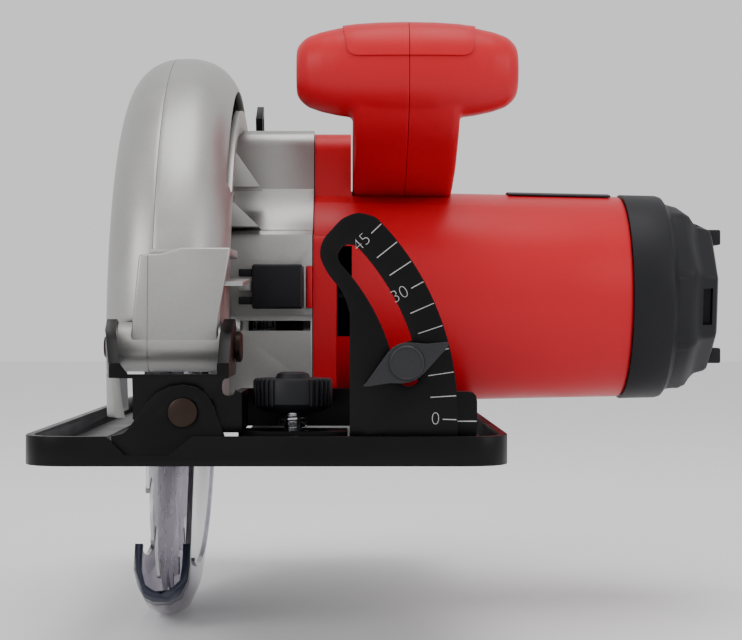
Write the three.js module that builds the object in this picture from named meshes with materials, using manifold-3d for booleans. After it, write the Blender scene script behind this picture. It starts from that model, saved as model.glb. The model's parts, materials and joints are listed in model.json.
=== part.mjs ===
// Portable circular saw with a 190 mm blade, in millimetres.
// Origin: centre of the sole's underside. +X runs along the motor, +Y to the rear, +Z up.
import * as THREE from 'three';
import { mergeVertices } from 'three/addons/utils/BufferGeometryUtils.js';
import Module from 'manifold-3d';

const wasm = await Module();
wasm.setup();

// ---- driving dimensions -------------------------------------------------------------------

const GAP = 0.3;                    // clearance kept between neighbouring pieces
const DEG = Math.PI / 180;

const SOLE_WIDTH = 149;
const SOLE_LENGTH = 290;
const SOLE_CORNER = 15;
const SOLE_RIM = 9;                 // height of the turned-up rim
const SHEET = 2.5;                  // pressed steel thickness
const WINDOW = { x0: -61, x1: -12.4, y0: -125, y1: 115 };

const SPINDLE = { y: 5, z: 34 };
const BLADE_X = -43;
const BLADE_RADIUS = 95;
const BLADE_PLATE = 1.6;
const BLADE_TEETH = 24;

const MODULE = 1.1;                 // gear module
const GEAR_TEETH = 38;
const PINION_TEETH = 10;
const CENTRES = MODULE * (GEAR_TEETH + PINION_TEETH) / 2;
const CENTRES_ANGLE = 47.2 * DEG;
const MOTOR = {
  y: SPINDLE.y + CENTRES * Math.cos(CENTRES_ANGLE),
  z: SPINDLE.z + CENTRES * Math.sin(CENTRES_ANGLE),
};
const GEAR_X = { x0: -11, x1: -2 };

const TILT = { x: -25.2, z: 16.1 };         // bevel axis, along Y
const HINGE = { y: -107, z: 35.5 };         // depth axis, along X
const QUADRANT_RADIUS = 83.6;
const SLOT_RADIUS = 69.6;                   // middle of the bevel slot
const CLAMP_ANGLE = 12.6 * DEG;             // place of the bevel clamp bolt

const HOOD_RADIUS = 110;
const HOOD = { left: -56, seam: -38.7, right: -15 };
const HOOD_BOTTOM = 12;
const LOWER_RADIUS = 102;

const HOUSING_LEFT = 12.3;                  // motor housing, from the gear case ...
const HOUSING_RIGHT = 132.2;                // ... to the rear cap
const HOUSING_RADIUS = 42;
const HOUSING_TAPER = 2.5;                  // loss of radius along the housing
const HANDLE_SEAM = 47;                     // both handles are split here

const GUIDE_RADIUS = 232;                   // depth guide slot, about the depth axis
const LOCK_ANGLE = -5 * DEG;                // place of the depth lock bolt on it
const DEPTH_TRAVEL = 29 * DEG;
const KNOB = { x: 7.7, y: -120 };           // rip guide knob

// ---- solids -------------------------------------------------------------------------------

function signedVolume(position, index) {
  const a = new THREE.Vector3();
  const b = new THREE.Vector3();
  const c = new THREE.Vector3();
  let sum = 0;
  for (let i = 0; i < index.length; i += 3) {
    a.fromBufferAttribute(position, index[i]);
    b.fromBufferAttribute(position, index[i + 1]);
    c.fromBufferAttribute(position, index[i + 2]);
    sum += a.dot(b.cross(c));
  }
  return sum / 6;
}

function solid(source) {
  const copy = source.clone();
  copy.deleteAttribute('normal');
  copy.deleteAttribute('uv');
  const merged = mergeVertices(copy, 1e-4);
  const kept = [];
  const index = merged.index.array;
  for (let i = 0; i < index.length; i += 3) {
    const [a, b, c] = [index[i], index[i + 1], index[i + 2]];
    if (a !== b && b !== c && c !== a) kept.push(a, b, c);
  }
  if (signedVolume(merged.attributes.position, kept) < 0) {
    kept.reverse();
  }
  return new wasm.Manifold(new wasm.Mesh({
    numProp: 3,
    vertProperties: new Float32Array(merged.attributes.position.array),
    triVerts: new Uint32Array(kept),
  }));
}

function geometryOf(manifold) {
  const mesh = manifold.getMesh();
  const geometry = new THREE.BufferGeometry();
  geometry.setAttribute('position', new THREE.BufferAttribute(new Float32Array(mesh.vertProperties), 3));
  geometry.setIndex(new THREE.BufferAttribute(new Uint32Array(mesh.triVerts), 1));
  geometry.computeVertexNormals();
  return geometry;
}

const join = (...parts) => parts.reduce((all, part) => all.add(part));
const cut = (body, ...tools) => tools.reduce((left, tool) => left.subtract(tool), body);

function box(x0, x1, y0, y1, z0, z1) {
  const geometry = new THREE.BoxGeometry(x1 - x0, y1 - y0, z1 - z0);
  geometry.translate((x0 + x1) / 2, (y0 + y1) / 2, (z0 + z1) / 2);
  return solid(geometry);
}

// An outline with every corner rounded by its own radius: points are [a, b, radius].
function outline(points, steps = 3) {
  const path = [];
  const count = points.length;
  points.forEach(([a, b, radius = 0], i) => {
    const corner = new THREE.Vector2(a, b);
    if (!radius) {
      path.push(corner);
      return;
    }
    const before = new THREE.Vector2(...points[(i + count - 1) % count].slice(0, 2)).sub(corner);
    const after = new THREE.Vector2(...points[(i + 1) % count].slice(0, 2)).sub(corner);
    const reach = Math.min(radius, before.length() * 0.49, after.length() * 0.49);
    const start = corner.clone().add(before.setLength(reach));
    const end = corner.clone().add(after.setLength(reach));
    const curve = new THREE.QuadraticBezierCurve(start, corner, end);
    path.push(...curve.getPoints(steps));
  });
  return new THREE.Shape(path);
}

function arcPoints(a, b, radius, from, to, steps) {
  return Array.from({ length: steps + 1 }, (_, i) => {
    const angle = from + (to - from) * i / steps;
    return [a + radius * Math.cos(angle), b + radius * Math.sin(angle)];
  });
}

function slab(shape, depth) {
  return new THREE.ExtrudeGeometry(shape, { depth, bevelEnabled: false, curveSegments: 8 });
}

// Outline in Y-Z, thickness along X.
function plateX(shape, x0, x1) {
  const geometry = slab(shape, x1 - x0);
  geometry.applyMatrix4(new THREE.Matrix4().set(0, 0, 1, x0, 1, 0, 0, 0, 0, 1, 0, 0, 0, 0, 0, 1));
  return solid(geometry);
}

// Outline in X-Z, thickness along Y.
function plateY(shape, y0, y1) {
  const geometry = slab(shape, y1 - y0);
  geometry.rotateX(Math.PI / 2);
  geometry.translate(0, y1, 0);
  return solid(geometry);
}

// Outline in X-Y, thickness along Z.
function plateZ(shape, z0, z1) {
  const geometry = slab(shape, z1 - z0);
  geometry.translate(0, 0, z0);
  return solid(geometry);
}

// Turned about an axis along X at (y, z). The profile is [x, radius], in order round the section.
function turnX(profile, { y, z }, segments = 32) {
  const closed = profile[0][1] === 0 ? profile : [...profile, profile[0]];
  const points = closed.map(([x, radius]) => new THREE.Vector2(radius, x));
  const geometry = new THREE.LatheGeometry(points, segments);
  geometry.rotateZ(-Math.PI / 2);
  geometry.translate(0, y, z);
  return solid(geometry);
}

const rodX = (x0, x1, radius, at, segments = 16) =>
  turnX([[x0, 0], [x0, radius], [x1, radius], [x1, 0]], at, segments);

const tubeX = (x0, x1, inner, outer, at, segments = 20) =>
  turnX([[x0, inner], [x0, outer], [x1, outer], [x1, inner]], at, segments);

function rodY(x, z, radius, y0, y1, segments = 16) {
  const geometry = new THREE.CylinderGeometry(radius, radius, y1 - y0, segments);
  geometry.translate(x, (y0 + y1) / 2, z);
  return solid(geometry);
}

function rodZ(x, y, radius, z0, z1, segments = 16, topRadius = radius) {
  const geometry = new THREE.CylinderGeometry(topRadius, radius, z1 - z0, segments);
  geometry.rotateX(Math.PI / 2);
  geometry.translate(x, y, (z0 + z1) / 2);
  return solid(geometry);
}

// A wedge of the disc about (y, z), between two angles measured from +Y towards +Z.
function wedgeX({ y, z }, from, to, reach, x0, x1) {
  const rim = arcPoints(y, z, reach, from, to, 12);
  return plateX(outline([[y, z], ...rim]), x0, x1);
}

const polarX = ({ y, z }, radius, angle) => ({
  y: y + radius * Math.cos(angle),
  z: z + radius * Math.sin(angle),
});

// ---- materials ----------------------------------------------------------------------------

const finish = (color, roughness, metalness, extra = {}) =>
  new THREE.MeshStandardMaterial({ color, roughness, metalness, ...extra });

const FINISH = {
  black_steel: () => finish(0x1a1819, 0.35, 0.4),
  grey_casting: () => finish(0xb0aeac, 0.5, 0.6),
  red_plastic: () => finish(0xcc1f30, 0.45, 0),
  black_plastic: () => finish(0x2b2b30, 0.55, 0),
  lever_grey: () => finish(0x3c3c40, 0.5, 0.2),
  clear_plastic: () => finish(0x8f8aa0, 0.15, 0, { transparent: true, opacity: 0.5 }),
  bright_steel: () => finish(0xb9bbbe, 0.3, 0.9),
  dark_steel: () => finish(0x4a403c, 0.4, 0.8),
  copper: () => finish(0xb0623a, 0.35, 0.9),
  core_steel: () => finish(0x6d6f73, 0.5, 0.8),
  carbon: () => finish(0x2a2a2a, 0.8, 0),
};

const saw = new THREE.Group();

function add(name, body, material) {
  const mesh = new THREE.Mesh(geometryOf(body), FINISH[material]());
  mesh.name = name;
  saw.add(mesh);
}

// ---- sole, bevel quadrant and rip guide clamp -----------------------------------------------

const LUG = { x0: -47, x1: -12.6, top: 24.5 };
const FRONT_LUG = { y0: -140.6, y1: -138.4 };
const REAR_LUG = { y0: 135.9, y1: 138.2 };
const RIVET_RADIUS = 3;

// A bent-up ear of the sole that carries one end of the bevel axis.
function tiltLug({ y0, y1 }) {
  const ear = plateY(outline([
    [LUG.x0, 0.5], [LUG.x1, 0.5], [LUG.x1, 9],
    [TILT.x + 7, LUG.top, 7], [TILT.x - 7, LUG.top, 7], [LUG.x0 + 4, 9.5, 3], [LUG.x0, 9],
  ]), y0, y1);
  return cut(ear, rodY(TILT.x, TILT.z, RIVET_RADIUS + GAP, y0 - 1, y1 + 1));
}

function soleOutline(inset) {
  const x = SOLE_WIDTH / 2 - inset;
  const y = SOLE_LENGTH / 2 - inset;
  const radius = SOLE_CORNER - inset;
  return outline([[-x, -y, radius], [x, -y, radius], [x, y, radius], [-x, y, radius]], 5);
}

function basePlate() {
  const pan = cut(plateZ(soleOutline(0), 0, SOLE_RIM), plateZ(soleOutline(SHEET), SHEET, SOLE_RIM + 1));
  const front = -SOLE_LENGTH / 2;
  const sight = plateY(outline([
    [-49.2, SOLE_RIM + 1], [-42.2, 3.2], [-28.9, 3.2], [-20.8, SOLE_RIM + 1],
  ]), front - 1, front + SHEET + 1);
  const guideSlots = [-1, 1].map((side) =>
    box(side * 72 - 4, side * 72 + 4, KNOB.y - 7.5, KNOB.y + 7.5, SHEET + 0.3, 7.4));
  const sideNotch = box(-76, -71, 85, 91, 6.5, 10);
  const window = box(WINDOW.x0, WINDOW.x1, WINDOW.y0, WINDOW.y1, -1, SHEET + 1);
  const plate = cut(pan, sight, ...guideSlots, sideNotch, window);
  return join(plate, tiltLug(FRONT_LUG), tiltLug(REAR_LUG));
}

add('base_plate', basePlate(), 'black_steel');

function tiltRivet(lug, braceFar, direction) {
  const headFace = direction < 0 ? lug.y0 - GAP : lug.y1 + GAP;
  const tail = braceFar - direction * GAP;
  const span = (a, b) => [Math.min(a, b), Math.max(a, b)];
  const head = rodY(TILT.x, TILT.z, 4.4, ...span(headFace, headFace + direction * 1.6));
  const shank = rodY(TILT.x, TILT.z, RIVET_RADIUS, ...span(headFace + direction, tail - direction * 1.2));
  const foot = rodY(TILT.x, TILT.z, 4.6, ...span(tail, tail - direction * 1.4));
  return join(head, shank, foot);
}

const BRACKET = { y0: -138.1, y1: -135.7 };
const REAR_BRACE = { y0: 133.2, y1: 135.6 };

add('front_tilt_rivet', tiltRivet(FRONT_LUG, BRACKET.y1, -1), 'dark_steel');
add('rear_tilt_rivet', tiltRivet(REAR_LUG, REAR_BRACE.y0, 1), 'dark_steel');

// Points given from the bevel axis, placed in X-Z.
const fromTilt = (points) => points.map(([x, z, r]) => [TILT.x + x, TILT.z + z, r]);

function bentSlot(radius, halfWidth, from, to) {
  return new THREE.Shape([
    ...arcPoints(TILT.x, TILT.z, radius + halfWidth, from, to, 14),
    ...arcPoints(TILT.x + radius * Math.cos(to), TILT.z + radius * Math.sin(to),
      halfWidth, to, to + Math.PI, 6).slice(1, -1),
    ...arcPoints(TILT.x, TILT.z, radius - halfWidth, to, from, 14),
    ...arcPoints(TILT.x + radius * Math.cos(from), TILT.z + radius * Math.sin(from),
      halfWidth, from + Math.PI, from + 2 * Math.PI, 6).slice(1, -1),
  ].map(([x, z]) => new THREE.Vector2(x, z)));
}

const QUADRANT = { y0: -141, y1: -138.5 };

function bevelQuadrant() {
  const rim = arcPoints(0, 0, QUADRANT_RADIUS, 43.6 * DEG, 4 * DEG, 18);
  const foot = SHEET + GAP - TILT.z;
  const plate = plateY(outline(fromTilt([
    [50.8, foot], [50.8, 30], [49.1, 36.3, 3], [43.9, 42.3, 3], [41.4, 47.9, 3],
    [42.6, 52.6, 2], [48.5, 59.1, 2], [53.4, 61, 2], [58.6, 59.5, 1], ...rim, [83.8, foot],
  ])), QUADRANT.y0, QUADRANT.y1);
  const slot = plateY(bentSlot(SLOT_RADIUS, 3.65, 9.5 * DEG, 43.1 * DEG), QUADRANT.y0 - 1, QUADRANT.y1 + 1);
  const flange = box(TILT.x + 50.8, TILT.x + 83.8, QUADRANT.y1 - 0.5, QUADRANT.y1 + 9,
    SHEET + GAP, SHEET + GAP + 2.2);
  return join(cut(plate, slot), flange);
}

add('bevel_quadrant', bevelQuadrant(), 'black_steel');

const CHANNEL = { x0: -9, x1: 25, y0: -129.5, y1: -110.5, top: 9.6 };

function guideClamp() {
  const strap = box(CHANNEL.x0, CHANNEL.x1, CHANNEL.y0, CHANNEL.y1, SHEET + GAP, CHANNEL.top);
  const tunnel = box(CHANNEL.x0 - 1, CHANNEL.x1 + 1, KNOB.y - 7, KNOB.y + 7, SHEET, 7.4);
  return cut(strap, tunnel, rodZ(KNOB.x, KNOB.y, 3 + GAP, 5, 12));
}

add('guide_clamp', guideClamp(), 'black_steel');

function guideKnob() {
  const flutes = 12;
  const lobed = Array.from({ length: flutes * 4 }, (_, i) => {
    const angle = i * 2 * Math.PI / (flutes * 4);
    const radius = 12.7 + 0.7 * Math.cos(flutes * angle);
    return new THREE.Vector2(KNOB.x + radius * Math.cos(angle), KNOB.y + radius * Math.sin(angle));
  });
  const grip = plateZ(new THREE.Shape(lobed), 17.5, 25.9);
  const skirt = rodZ(KNOB.x, KNOB.y, 9, 15.4, 18, 24, 12);
  const cap = rodZ(KNOB.x, KNOB.y, 5.4, 25.5, 27.9, 20, 4.6);
  return cut(join(grip, skirt, cap), rodZ(KNOB.x, KNOB.y, 3 + GAP, 14, 22));
}

add('guide_knob', guideKnob(), 'black_plastic');
add('guide_knob_bolt', rodZ(KNOB.x, KNOB.y, 3, 7.8, 21.6, 16), 'bright_steel');

// A coil spring as one bent rod; the axis is along Z (or X when turned).
class Coil extends THREE.Curve {
  constructor(radius, pitch, turns) {
    super();
    Object.assign(this, { radius, pitch, turns });
  }

  getPoint(t, target = new THREE.Vector3()) {
    const angle = t * this.turns * 2 * Math.PI;
    const { radius } = this;
    return target.set(radius * Math.cos(angle), radius * Math.sin(angle), this.pitch * this.turns * t);
  }
}

function coil(radius, wire, pitch, turns) {
  const section = new THREE.Shape(arcPoints(0, 0, wire, 0, 5 * Math.PI / 3, 5)
    .map(([a, b]) => new THREE.Vector2(a, b)));
  return new THREE.ExtrudeGeometry(section, {
    extrudePath: new Coil(radius, pitch, turns), steps: Math.round(turns * 10), bevelEnabled: false,
  });
}

function guideSpring() {
  const geometry = coil(4.2, 0.5, 1.5, 2.4);
  geometry.translate(KNOB.x, KNOB.y, 10.6);
  return solid(geometry);
}

add('guide_spring', guideSpring(), 'bright_steel');

// ---- tilting frame: front bracket, depth guide and hinge pin --------------------------------

const EARS = [{ x0: -52.8, x1: -49.5 }, { x0: -15, x1: -11.4 }];
const PIN_RADIUS = 3.6;

// Lower left of each tilting plate, cut back so that it clears the sole through the tilt.
const TILT_HEEL = [[-40.7, 20], [-40.7, 14], [-31.7, 4.9], [-23, 4.9]];

function hingeEar({ x0, x1 }) {
  const nose = arcPoints(HINGE.y, HINGE.z, 9, -90 * DEG, 90 * DEG, 10);
  const ear = plateX(outline([
    [BRACKET.y0, 27], [BRACKET.y1 + 4, 26.5], ...nose, [-125, 40, 4], [BRACKET.y1, 31], [BRACKET.y0, 31],
  ]), x0, x1);
  return cut(ear, rodX(x0 - 1, x1 + 1, PIN_RADIUS + GAP, HINGE));
}

// The bracket steps back behind the rip guide's knob.
const STEP = { x0: -7.4, x1: 29, back: -101.6 };

function frontBracket() {
  const plate = plateY(outline([
    ...TILT_HEEL, [-19, 9.8], [58.6, 9.8], [58.6, 7.6], [64.6, 7.6, 3], [64.6, 22.4, 3],
    [57.5, 22.4], [54.4, 40.2, 3], [40.4, 37, 3], [36, 22, 4], [-7.8, 22], [-11.4, 24], [-11.4, 30],
    [-15, 30], [-15, 27.6], [-47, 27.6], [-49.5, 31], [-52.8, 31], [-52.8, 26.5], [-47, 20],
  ]), BRACKET.y0, BRACKET.y1);
  const step = box(STEP.x0, STEP.x1, BRACKET.y0 - 1, BRACKET.y1 + 1, 0, 30);
  const jog = cut(box(STEP.x0 - 2.4, STEP.x1 + 2.4, BRACKET.y0, STEP.back, 9.8, 22),
    box(STEP.x0, STEP.x1, BRACKET.y0 - 1, STEP.back - 2.4, 9, 23));
  const relief = plateY(outline([
    [-13.5, 26.4, 2], [-13.5, 21, 2], [-9.4, 21, 2], [-9.4, 26.4, 2],
  ]), BRACKET.y0 - 1, BRACKET.y1 + 1);
  const bolt = plateY(bentSlot(SLOT_RADIUS, 2.8, -1.2 * DEG, CLAMP_ANGLE), BRACKET.y0 - 1, BRACKET.y1 + 1);
  const rivet = rodY(TILT.x, TILT.z, RIVET_RADIUS + GAP, BRACKET.y0 - 1, BRACKET.y1 + 1);
  return join(cut(plate, relief, bolt, rivet, step), jog, ...EARS.map(hingeEar));
}

add('front_bracket', frontBracket(), 'black_steel');

function hingePin() {
  const shank = rodX(-54.6, -9.2, PIN_RADIUS, HINGE);
  const head = rodX(-11.1, -9, 5, HINGE);
  const ring = rodX(-54.9, -53.1, 5, HINGE);
  return join(shank, head, ring);
}

add('hinge_pin', hingePin(), 'dark_steel');

const GUIDE_X = { x0: -15.2, x1: -12.2 };

function depthGuide() {
  const slotHalf = 3.5;
  const low = LOCK_ANGLE - 1 * DEG;
  const high = LOCK_ANGLE + DEPTH_TRAVEL + 1 * DEG;
  const outer = arcPoints(HINGE.y, HINGE.z, GUIDE_RADIUS + 8, low - 1 * DEG, high + 0.6 * DEG, 14);
  const inner = arcPoints(HINGE.y, HINGE.z, GUIDE_RADIUS - 8, high + 0.6 * DEG, low - 1 * DEG, 14);
  const plate = plateX(new THREE.Shape([...outer, ...inner].map(([y, z]) => new THREE.Vector2(y, z))),
    GUIDE_X.x0, GUIDE_X.x1);
  const slotOut = arcPoints(HINGE.y, HINGE.z, GUIDE_RADIUS + slotHalf, low, high, 12);
  const slotIn = arcPoints(HINGE.y, HINGE.z, GUIDE_RADIUS - slotHalf, high, low, 12);
  const slot = plateX(new THREE.Shape([...slotOut, ...slotIn].map(([y, z]) => new THREE.Vector2(y, z))),
    GUIDE_X.x0 - 1, GUIDE_X.x1 + 1);
  const brace = plateY(outline([
    ...TILT_HEEL, [-19, 8.6], [GUIDE_X.x1, 8.6], [GUIDE_X.x1, 28], [-34, 28, 5], [-40.7, 24, 3],
  ]), REAR_BRACE.y0, REAR_BRACE.y1);
  const rivet = rodY(TILT.x, TILT.z, RIVET_RADIUS + GAP, REAR_BRACE.y0 - 1, REAR_BRACE.y1 + 1);
  const knee = box(GUIDE_X.x0, GUIDE_X.x1, 129.5, REAR_BRACE.y1, 8.6, 28);
  return join(cut(plate, slot), knee, cut(brace, rivet));
}

add('depth_guide', depthGuide(), 'black_steel');

// ---- bevel clamp ----------------------------------------------------------------------------

const CLAMP = {
  x: TILT.x + SLOT_RADIUS * Math.cos(CLAMP_ANGLE),
  z: TILT.z + SLOT_RADIUS * Math.sin(CLAMP_ANGLE),
};

function clampBolt() {
  const shank = rodY(CLAMP.x, CLAMP.z, 2.5, -146, -132);
  const head = rodY(CLAMP.x, CLAMP.z, 5.5, -135.4, -131.5, 6);
  return join(shank, head);
}

add('bevel_clamp_bolt', clampBolt(), 'bright_steel');
add('bevel_clamp_washer', cut(rodY(CLAMP.x, CLAMP.z, 5.6, -142.5, -141.3),
  rodY(CLAMP.x, CLAMP.z, 2.5 + GAP, -143, -141)), 'bright_steel');

function bevelLever() {
  const wings = plateY(outline([
    [CLAMP.x - 14, CLAMP.z - 6.9, 1.5], [CLAMP.x - 5.5, CLAMP.z - 6.2, 2], [CLAMP.x + 4.5, CLAMP.z - 4.8, 3],
    [CLAMP.x + 12.8, CLAMP.z + 4.2, 1], [CLAMP.x + 11.5, CLAMP.z + 6.2, 1],
    [CLAMP.x + 2, CLAMP.z + 5.8, 3], [CLAMP.x - 5.8, CLAMP.z + 4.4, 3],
  ]), -148, -142.8);
  const hub = rodY(CLAMP.x, CLAMP.z, 5.6, -149, -142.8, 28);
  return cut(join(wings, hub), rodY(CLAMP.x, CLAMP.z, 2.5 + GAP, -146.5, -142));
}

add('bevel_lever', bevelLever(), 'lever_grey');

// ---- blade hood -----------------------------------------------------------------------------

const WALL = 3;
const HUB_RADIUS = 15.6;            // boss that the lower guard turns on
const LEVER_RING = 94;              // radius at which the guard lever passes the hood wall

// Section of the hood's crown, as [x, radius], right half from the seam outwards.
const underCrown = (section) => section.map(([x, drop]) => [x, HOOD_RADIUS - drop]);
const CROWN = underCrown([
  [HOOD.seam, 0], [-31, 0], [-25, 2.5], [-19.5, 7], [-16.2, 13], [HOOD.right, 19],
]);
const CROWN_INSIDE = underCrown([
  [-17.2, 19], [-18.4, 14], [-21.3, 9], [-26.2, 4.6], [-31, 2.2], [HOOD.seam, 2.2],
]);

const mirrored = (section) => section
  .map(([x, radius]) => [HOOD.left + HOOD.right - x, radius]);

// What the hood leaves open: all below its edge, and the corner where the depth hinge sits.
const hoodOpening = () => join(
  box(-70, 0, -130, 140, -90, HOOD_BOTTOM),
  box(-70, 0, -130, -96, -90, HINGE.z),
  rodX(-70, 0, 9.6, HINGE, 24),
);

function hoodShell() {
  const section = [...CROWN, [HOOD.right, 17], [-17.2, 17], ...CROWN_INSIDE];
  const boss = tubeX(-31, -15.5, 13.4, HUB_RADIUS, SPINDLE);
  const web = tubeX(-18, -15.2, 13.4, 18, SPINDLE);
  return join(cut(turnX(section, SPINDLE, 40), hoodOpening()), boss, web);
}

function apron() {
  const barrel = rodX(-49.2, -15.3, 8, HINGE, 32);
  const front = plateY(outline([
    [-46, HINGE.z], [-15.6, HINGE.z], [-15.6, 50], [-13, 58], [-13, 66], [-46, 66, 3],
  ]), HINGE.y - 6, HINGE.y - 2.6);
  const roof = plateX(outline([
    [HINGE.y - 6, 66, 2], [HINGE.y - 6, 62], [-96, 64], [-70, 66], [-70, 69],
  ]), HOOD.seam + GAP, -13);
  const cheek = (x) => plateX(outline([
    [HINGE.y - 5.5, HINGE.z + 3], [HINGE.y - 5.5, 66], [-62, 69], [-66, 44], [-96, 24], [HINGE.y + 5, 30],
  ]), x, x + WALL);
  const ribs = [-30, -22].map((x) => box(x, x + 2, HINGE.y - 5, -100.5, 42, 64));
  return join(barrel, front, roof, cheek(-18.6), ...ribs);
}

// Triangular gussets between the hood's wall and the gear case.
function gusset(top, bottom, reach, y) {
  return plateY(new THREE.Shape([
    new THREE.Vector2(HOOD.right - 1, bottom), new THREE.Vector2(HOOD.right + reach, bottom),
    new THREE.Vector2(HOOD.right - 1, top),
  ]), y, y + WALL);
}

function lockBoss() {
  const at = polarX(HINGE, GUIDE_RADIUS, LOCK_ANGLE);
  const arm = plateX(outline([
    [84, 60], [108, 44], [at.y + 6.5, at.z + 4, 6], [at.y + 6.5, at.z - 6.5, 6],
    [at.y - 12, at.z - 7, 4], [80, 24],
  ]), -21, HOOD.right - 0.5);
  return cut(arm, rodX(-22, -14, 3 + GAP, at));
}

const LEVER_REST = 43 * DEG;
const GUARD_TRAVEL = 97 * DEG;

function leverSlot() {
  const from = LEVER_REST - 4 * DEG;
  const to = LEVER_REST + GUARD_TRAVEL + 4 * DEG;
  const { y, z } = SPINDLE;
  return plateX(new THREE.Shape([
    ...arcPoints(y, z, LEVER_RING + 3.6, from, to, 12),
    ...arcPoints(y, z, LEVER_RING - 3.6, to, from, 12),
  ].map(([a, b]) => new THREE.Vector2(a, b))), -21.5, HOOD.right + 2);
}

function upperGuard() {
  const hollow = cut(turnX([[-17.2, 0], ...CROWN_INSIDE, [HOOD.seam, 0]], SPINDLE, 40), hoodOpening());
  const shell = join(hoodShell(), cut(apron(), hollow), cut(lockBoss(), hollow));
  const gussets = [gusset(112.5, 97, 7, -4), gusset(93, 83, 7, -14)];
  return cut(join(shell, ...gussets), leverSlot(), rodX(-50, -10, PIN_RADIUS + GAP, HINGE));
}

add('upper_guard', upperGuard(), 'grey_casting');

function guardCover() {
  const beside = ([x, radius]) => [Math.min(x, HOOD.seam - GAP), radius];
  const section = [...mirrored(CROWN), [HOOD.left, 52], [HOOD.left + 2.2, 52], ...mirrored(CROWN_INSIDE)];
  return cut(turnX(section.map(beside), SPINDLE, 40), hoodOpening());
}

add('guard_cover', guardCover(), 'grey_casting');

// ---- gear case ------------------------------------------------------------------------------

const CASE = { x0: HOOD.right + GAP, x1: 12, wall: 2.8 };

const plateauOutline = (grow) => outline([
  [8 - grow, 88], [10 - grow, 112 + grow, 4], [14 - grow, 116 + grow, 4], [28 + grow, 116 + grow, 6],
  [46 + grow, 104, 8], [60 + grow, 80],
]);

const boxOutline = (grow) => outline([
  [-28 - grow, 18 - grow, 4], [-28 - grow, 75 + grow, 4], [-10, 76 + grow, 8], [10, 60], [10, 18 - grow],
]);

function caseForm(x0, x1, grow) {
  return join(
    rodX(x0, x1, 42.6 + grow, MOTOR, 40),
    rodX(x0, x1, GEAR_RADIUS + 1.2 + grow, SPINDLE, 40),
    plateX(plateauOutline(grow), x0, x1),
    plateX(boxOutline(grow), x0, x1),
  );
}

const GEAR_RADIUS = MODULE * (GEAR_TEETH / 2 + 1);
const LOCK_BUTTON = { x0: -9.6, x1: 8.7, z0: 48.2, z1: 64.3 };
const LOCK_STEM = { x: 2, z: 56.2, radius: 3 };

function gearHousing() {
  const { wall, x0, x1 } = CASE;
  const shell = cut(caseForm(x0, x1, wall - 0.5), caseForm(x0 + wall, x1 + 1, -0.5));
  const bearingSeat = tubeX(x0, x0 + 3.5, 10.3, 14, SPINDLE);
  const groove = box(x0 - 1, x1 + 1, -31, -29.4, 42, 46);
  const stemHole = rodY(LOCK_STEM.x, LOCK_STEM.z, LOCK_STEM.radius + GAP, -40, -20);
  return cut(join(shell, bearingSeat), rodX(-20, -8, 10.3, SPINDLE), groove, stemHole);
}

add('gear_housing', gearHousing(), 'grey_casting');

// Plate that closes the gear case towards the motor and holds both inner bearings.
function gearCover() {
  const plate = join(rodX(8.4, 11.4, 41, MOTOR, 28), rodX(8.4, 11.4, GEAR_RADIUS, SPINDLE, 20));
  const seats = join(tubeX(3.4, 9, 11.3, 14, MOTOR), tubeX(3.4, 9, 8.3, 10.4, SPINDLE));
  return cut(join(plate, seats), rodX(0, 12, 8.3, SPINDLE, 20), rodX(0, 12, 11.3, MOTOR, 20));
}

add('gear_cover', gearCover(), 'grey_casting');

function spindleLockButton() {
  const { x0, x1, z0, z1 } = LOCK_BUTTON;
  const face = plateY(outline([[x0, z0, 2], [x1, z0, 2], [x1, z1, 2], [x0, z1, 2]]), -40.5, -34.6);
  const guides = [51.2, 61.3].map((z) => box(-14.6, x0 + 1, -37.5, -34.6, z - 1.4, z + 1.4));
  return join(face, ...guides, rodY(LOCK_STEM.x, LOCK_STEM.z, LOCK_STEM.radius, -36, -23));
}

add('spindle_lock_button', spindleLockButton(), 'black_plastic');

// ---- motor housing and rear cap -------------------------------------------------------------

const housingRadius = (x) =>
  HOUSING_RADIUS - HOUSING_TAPER * (x - HOUSING_LEFT) / (HOUSING_RIGHT - HOUSING_LEFT);

function housingBore() {
  const wall = 3.2;
  return turnX([
    [HOUSING_LEFT - 1, 0], [HOUSING_LEFT - 1, HOUSING_RADIUS - wall],
    [HOUSING_RIGHT + 1, housingRadius(HOUSING_RIGHT) - wall], [HOUSING_RIGHT + 1, 0],
  ], MOTOR, 40);
}

function motorHousing() {
  const tube = turnX([
    [HOUSING_LEFT, 0], [HOUSING_LEFT, HOUSING_RADIUS], [HOUSING_RIGHT, housingRadius(HOUSING_RIGHT)],
    [HOUSING_RIGHT, 0],
  ], MOTOR, 40);
  const collar = plateX(plateauOutline(1.5), HOUSING_LEFT, 26.4);
  const cheek = plateX(boxOutline(0.5), HOUSING_LEFT, 20.8);
  const heel = rodX(HOUSING_LEFT, 20.8, GEAR_RADIUS + 2, SPINDLE, 40);
  const slot = box(21, 26.6, -30, 2, 38, 72);
  const bore = housingBore();
  const collarBore = plateX(plateauOutline(-2), HOUSING_LEFT - 1, 23.4);
  const cheekBore = plateX(boxOutline(-2.5), HOUSING_LEFT - 1, 18);
  return cut(join(tube, collar, cheek, heel), bore, slot, collarBore, cheekBore);
}

add('motor_housing', motorHousing(), 'red_plastic');

const VENTS = 8;                    // air slots round the cap
const CAP_LEFT = HOUSING_RIGHT + GAP;
const CAP_OUTSIDE = [
  [CAP_LEFT, 39.1], [147, 38.8], [148, 37], [154, 36], [158.6, 32.8], [163, 29.2], [170, 27],
];
const CAP_INSIDE = [[167, 0], [167, 24], [161, 26.4], [156.6, 30], [152.5, 33], [147, 34], [CAP_LEFT, 36]];

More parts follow.
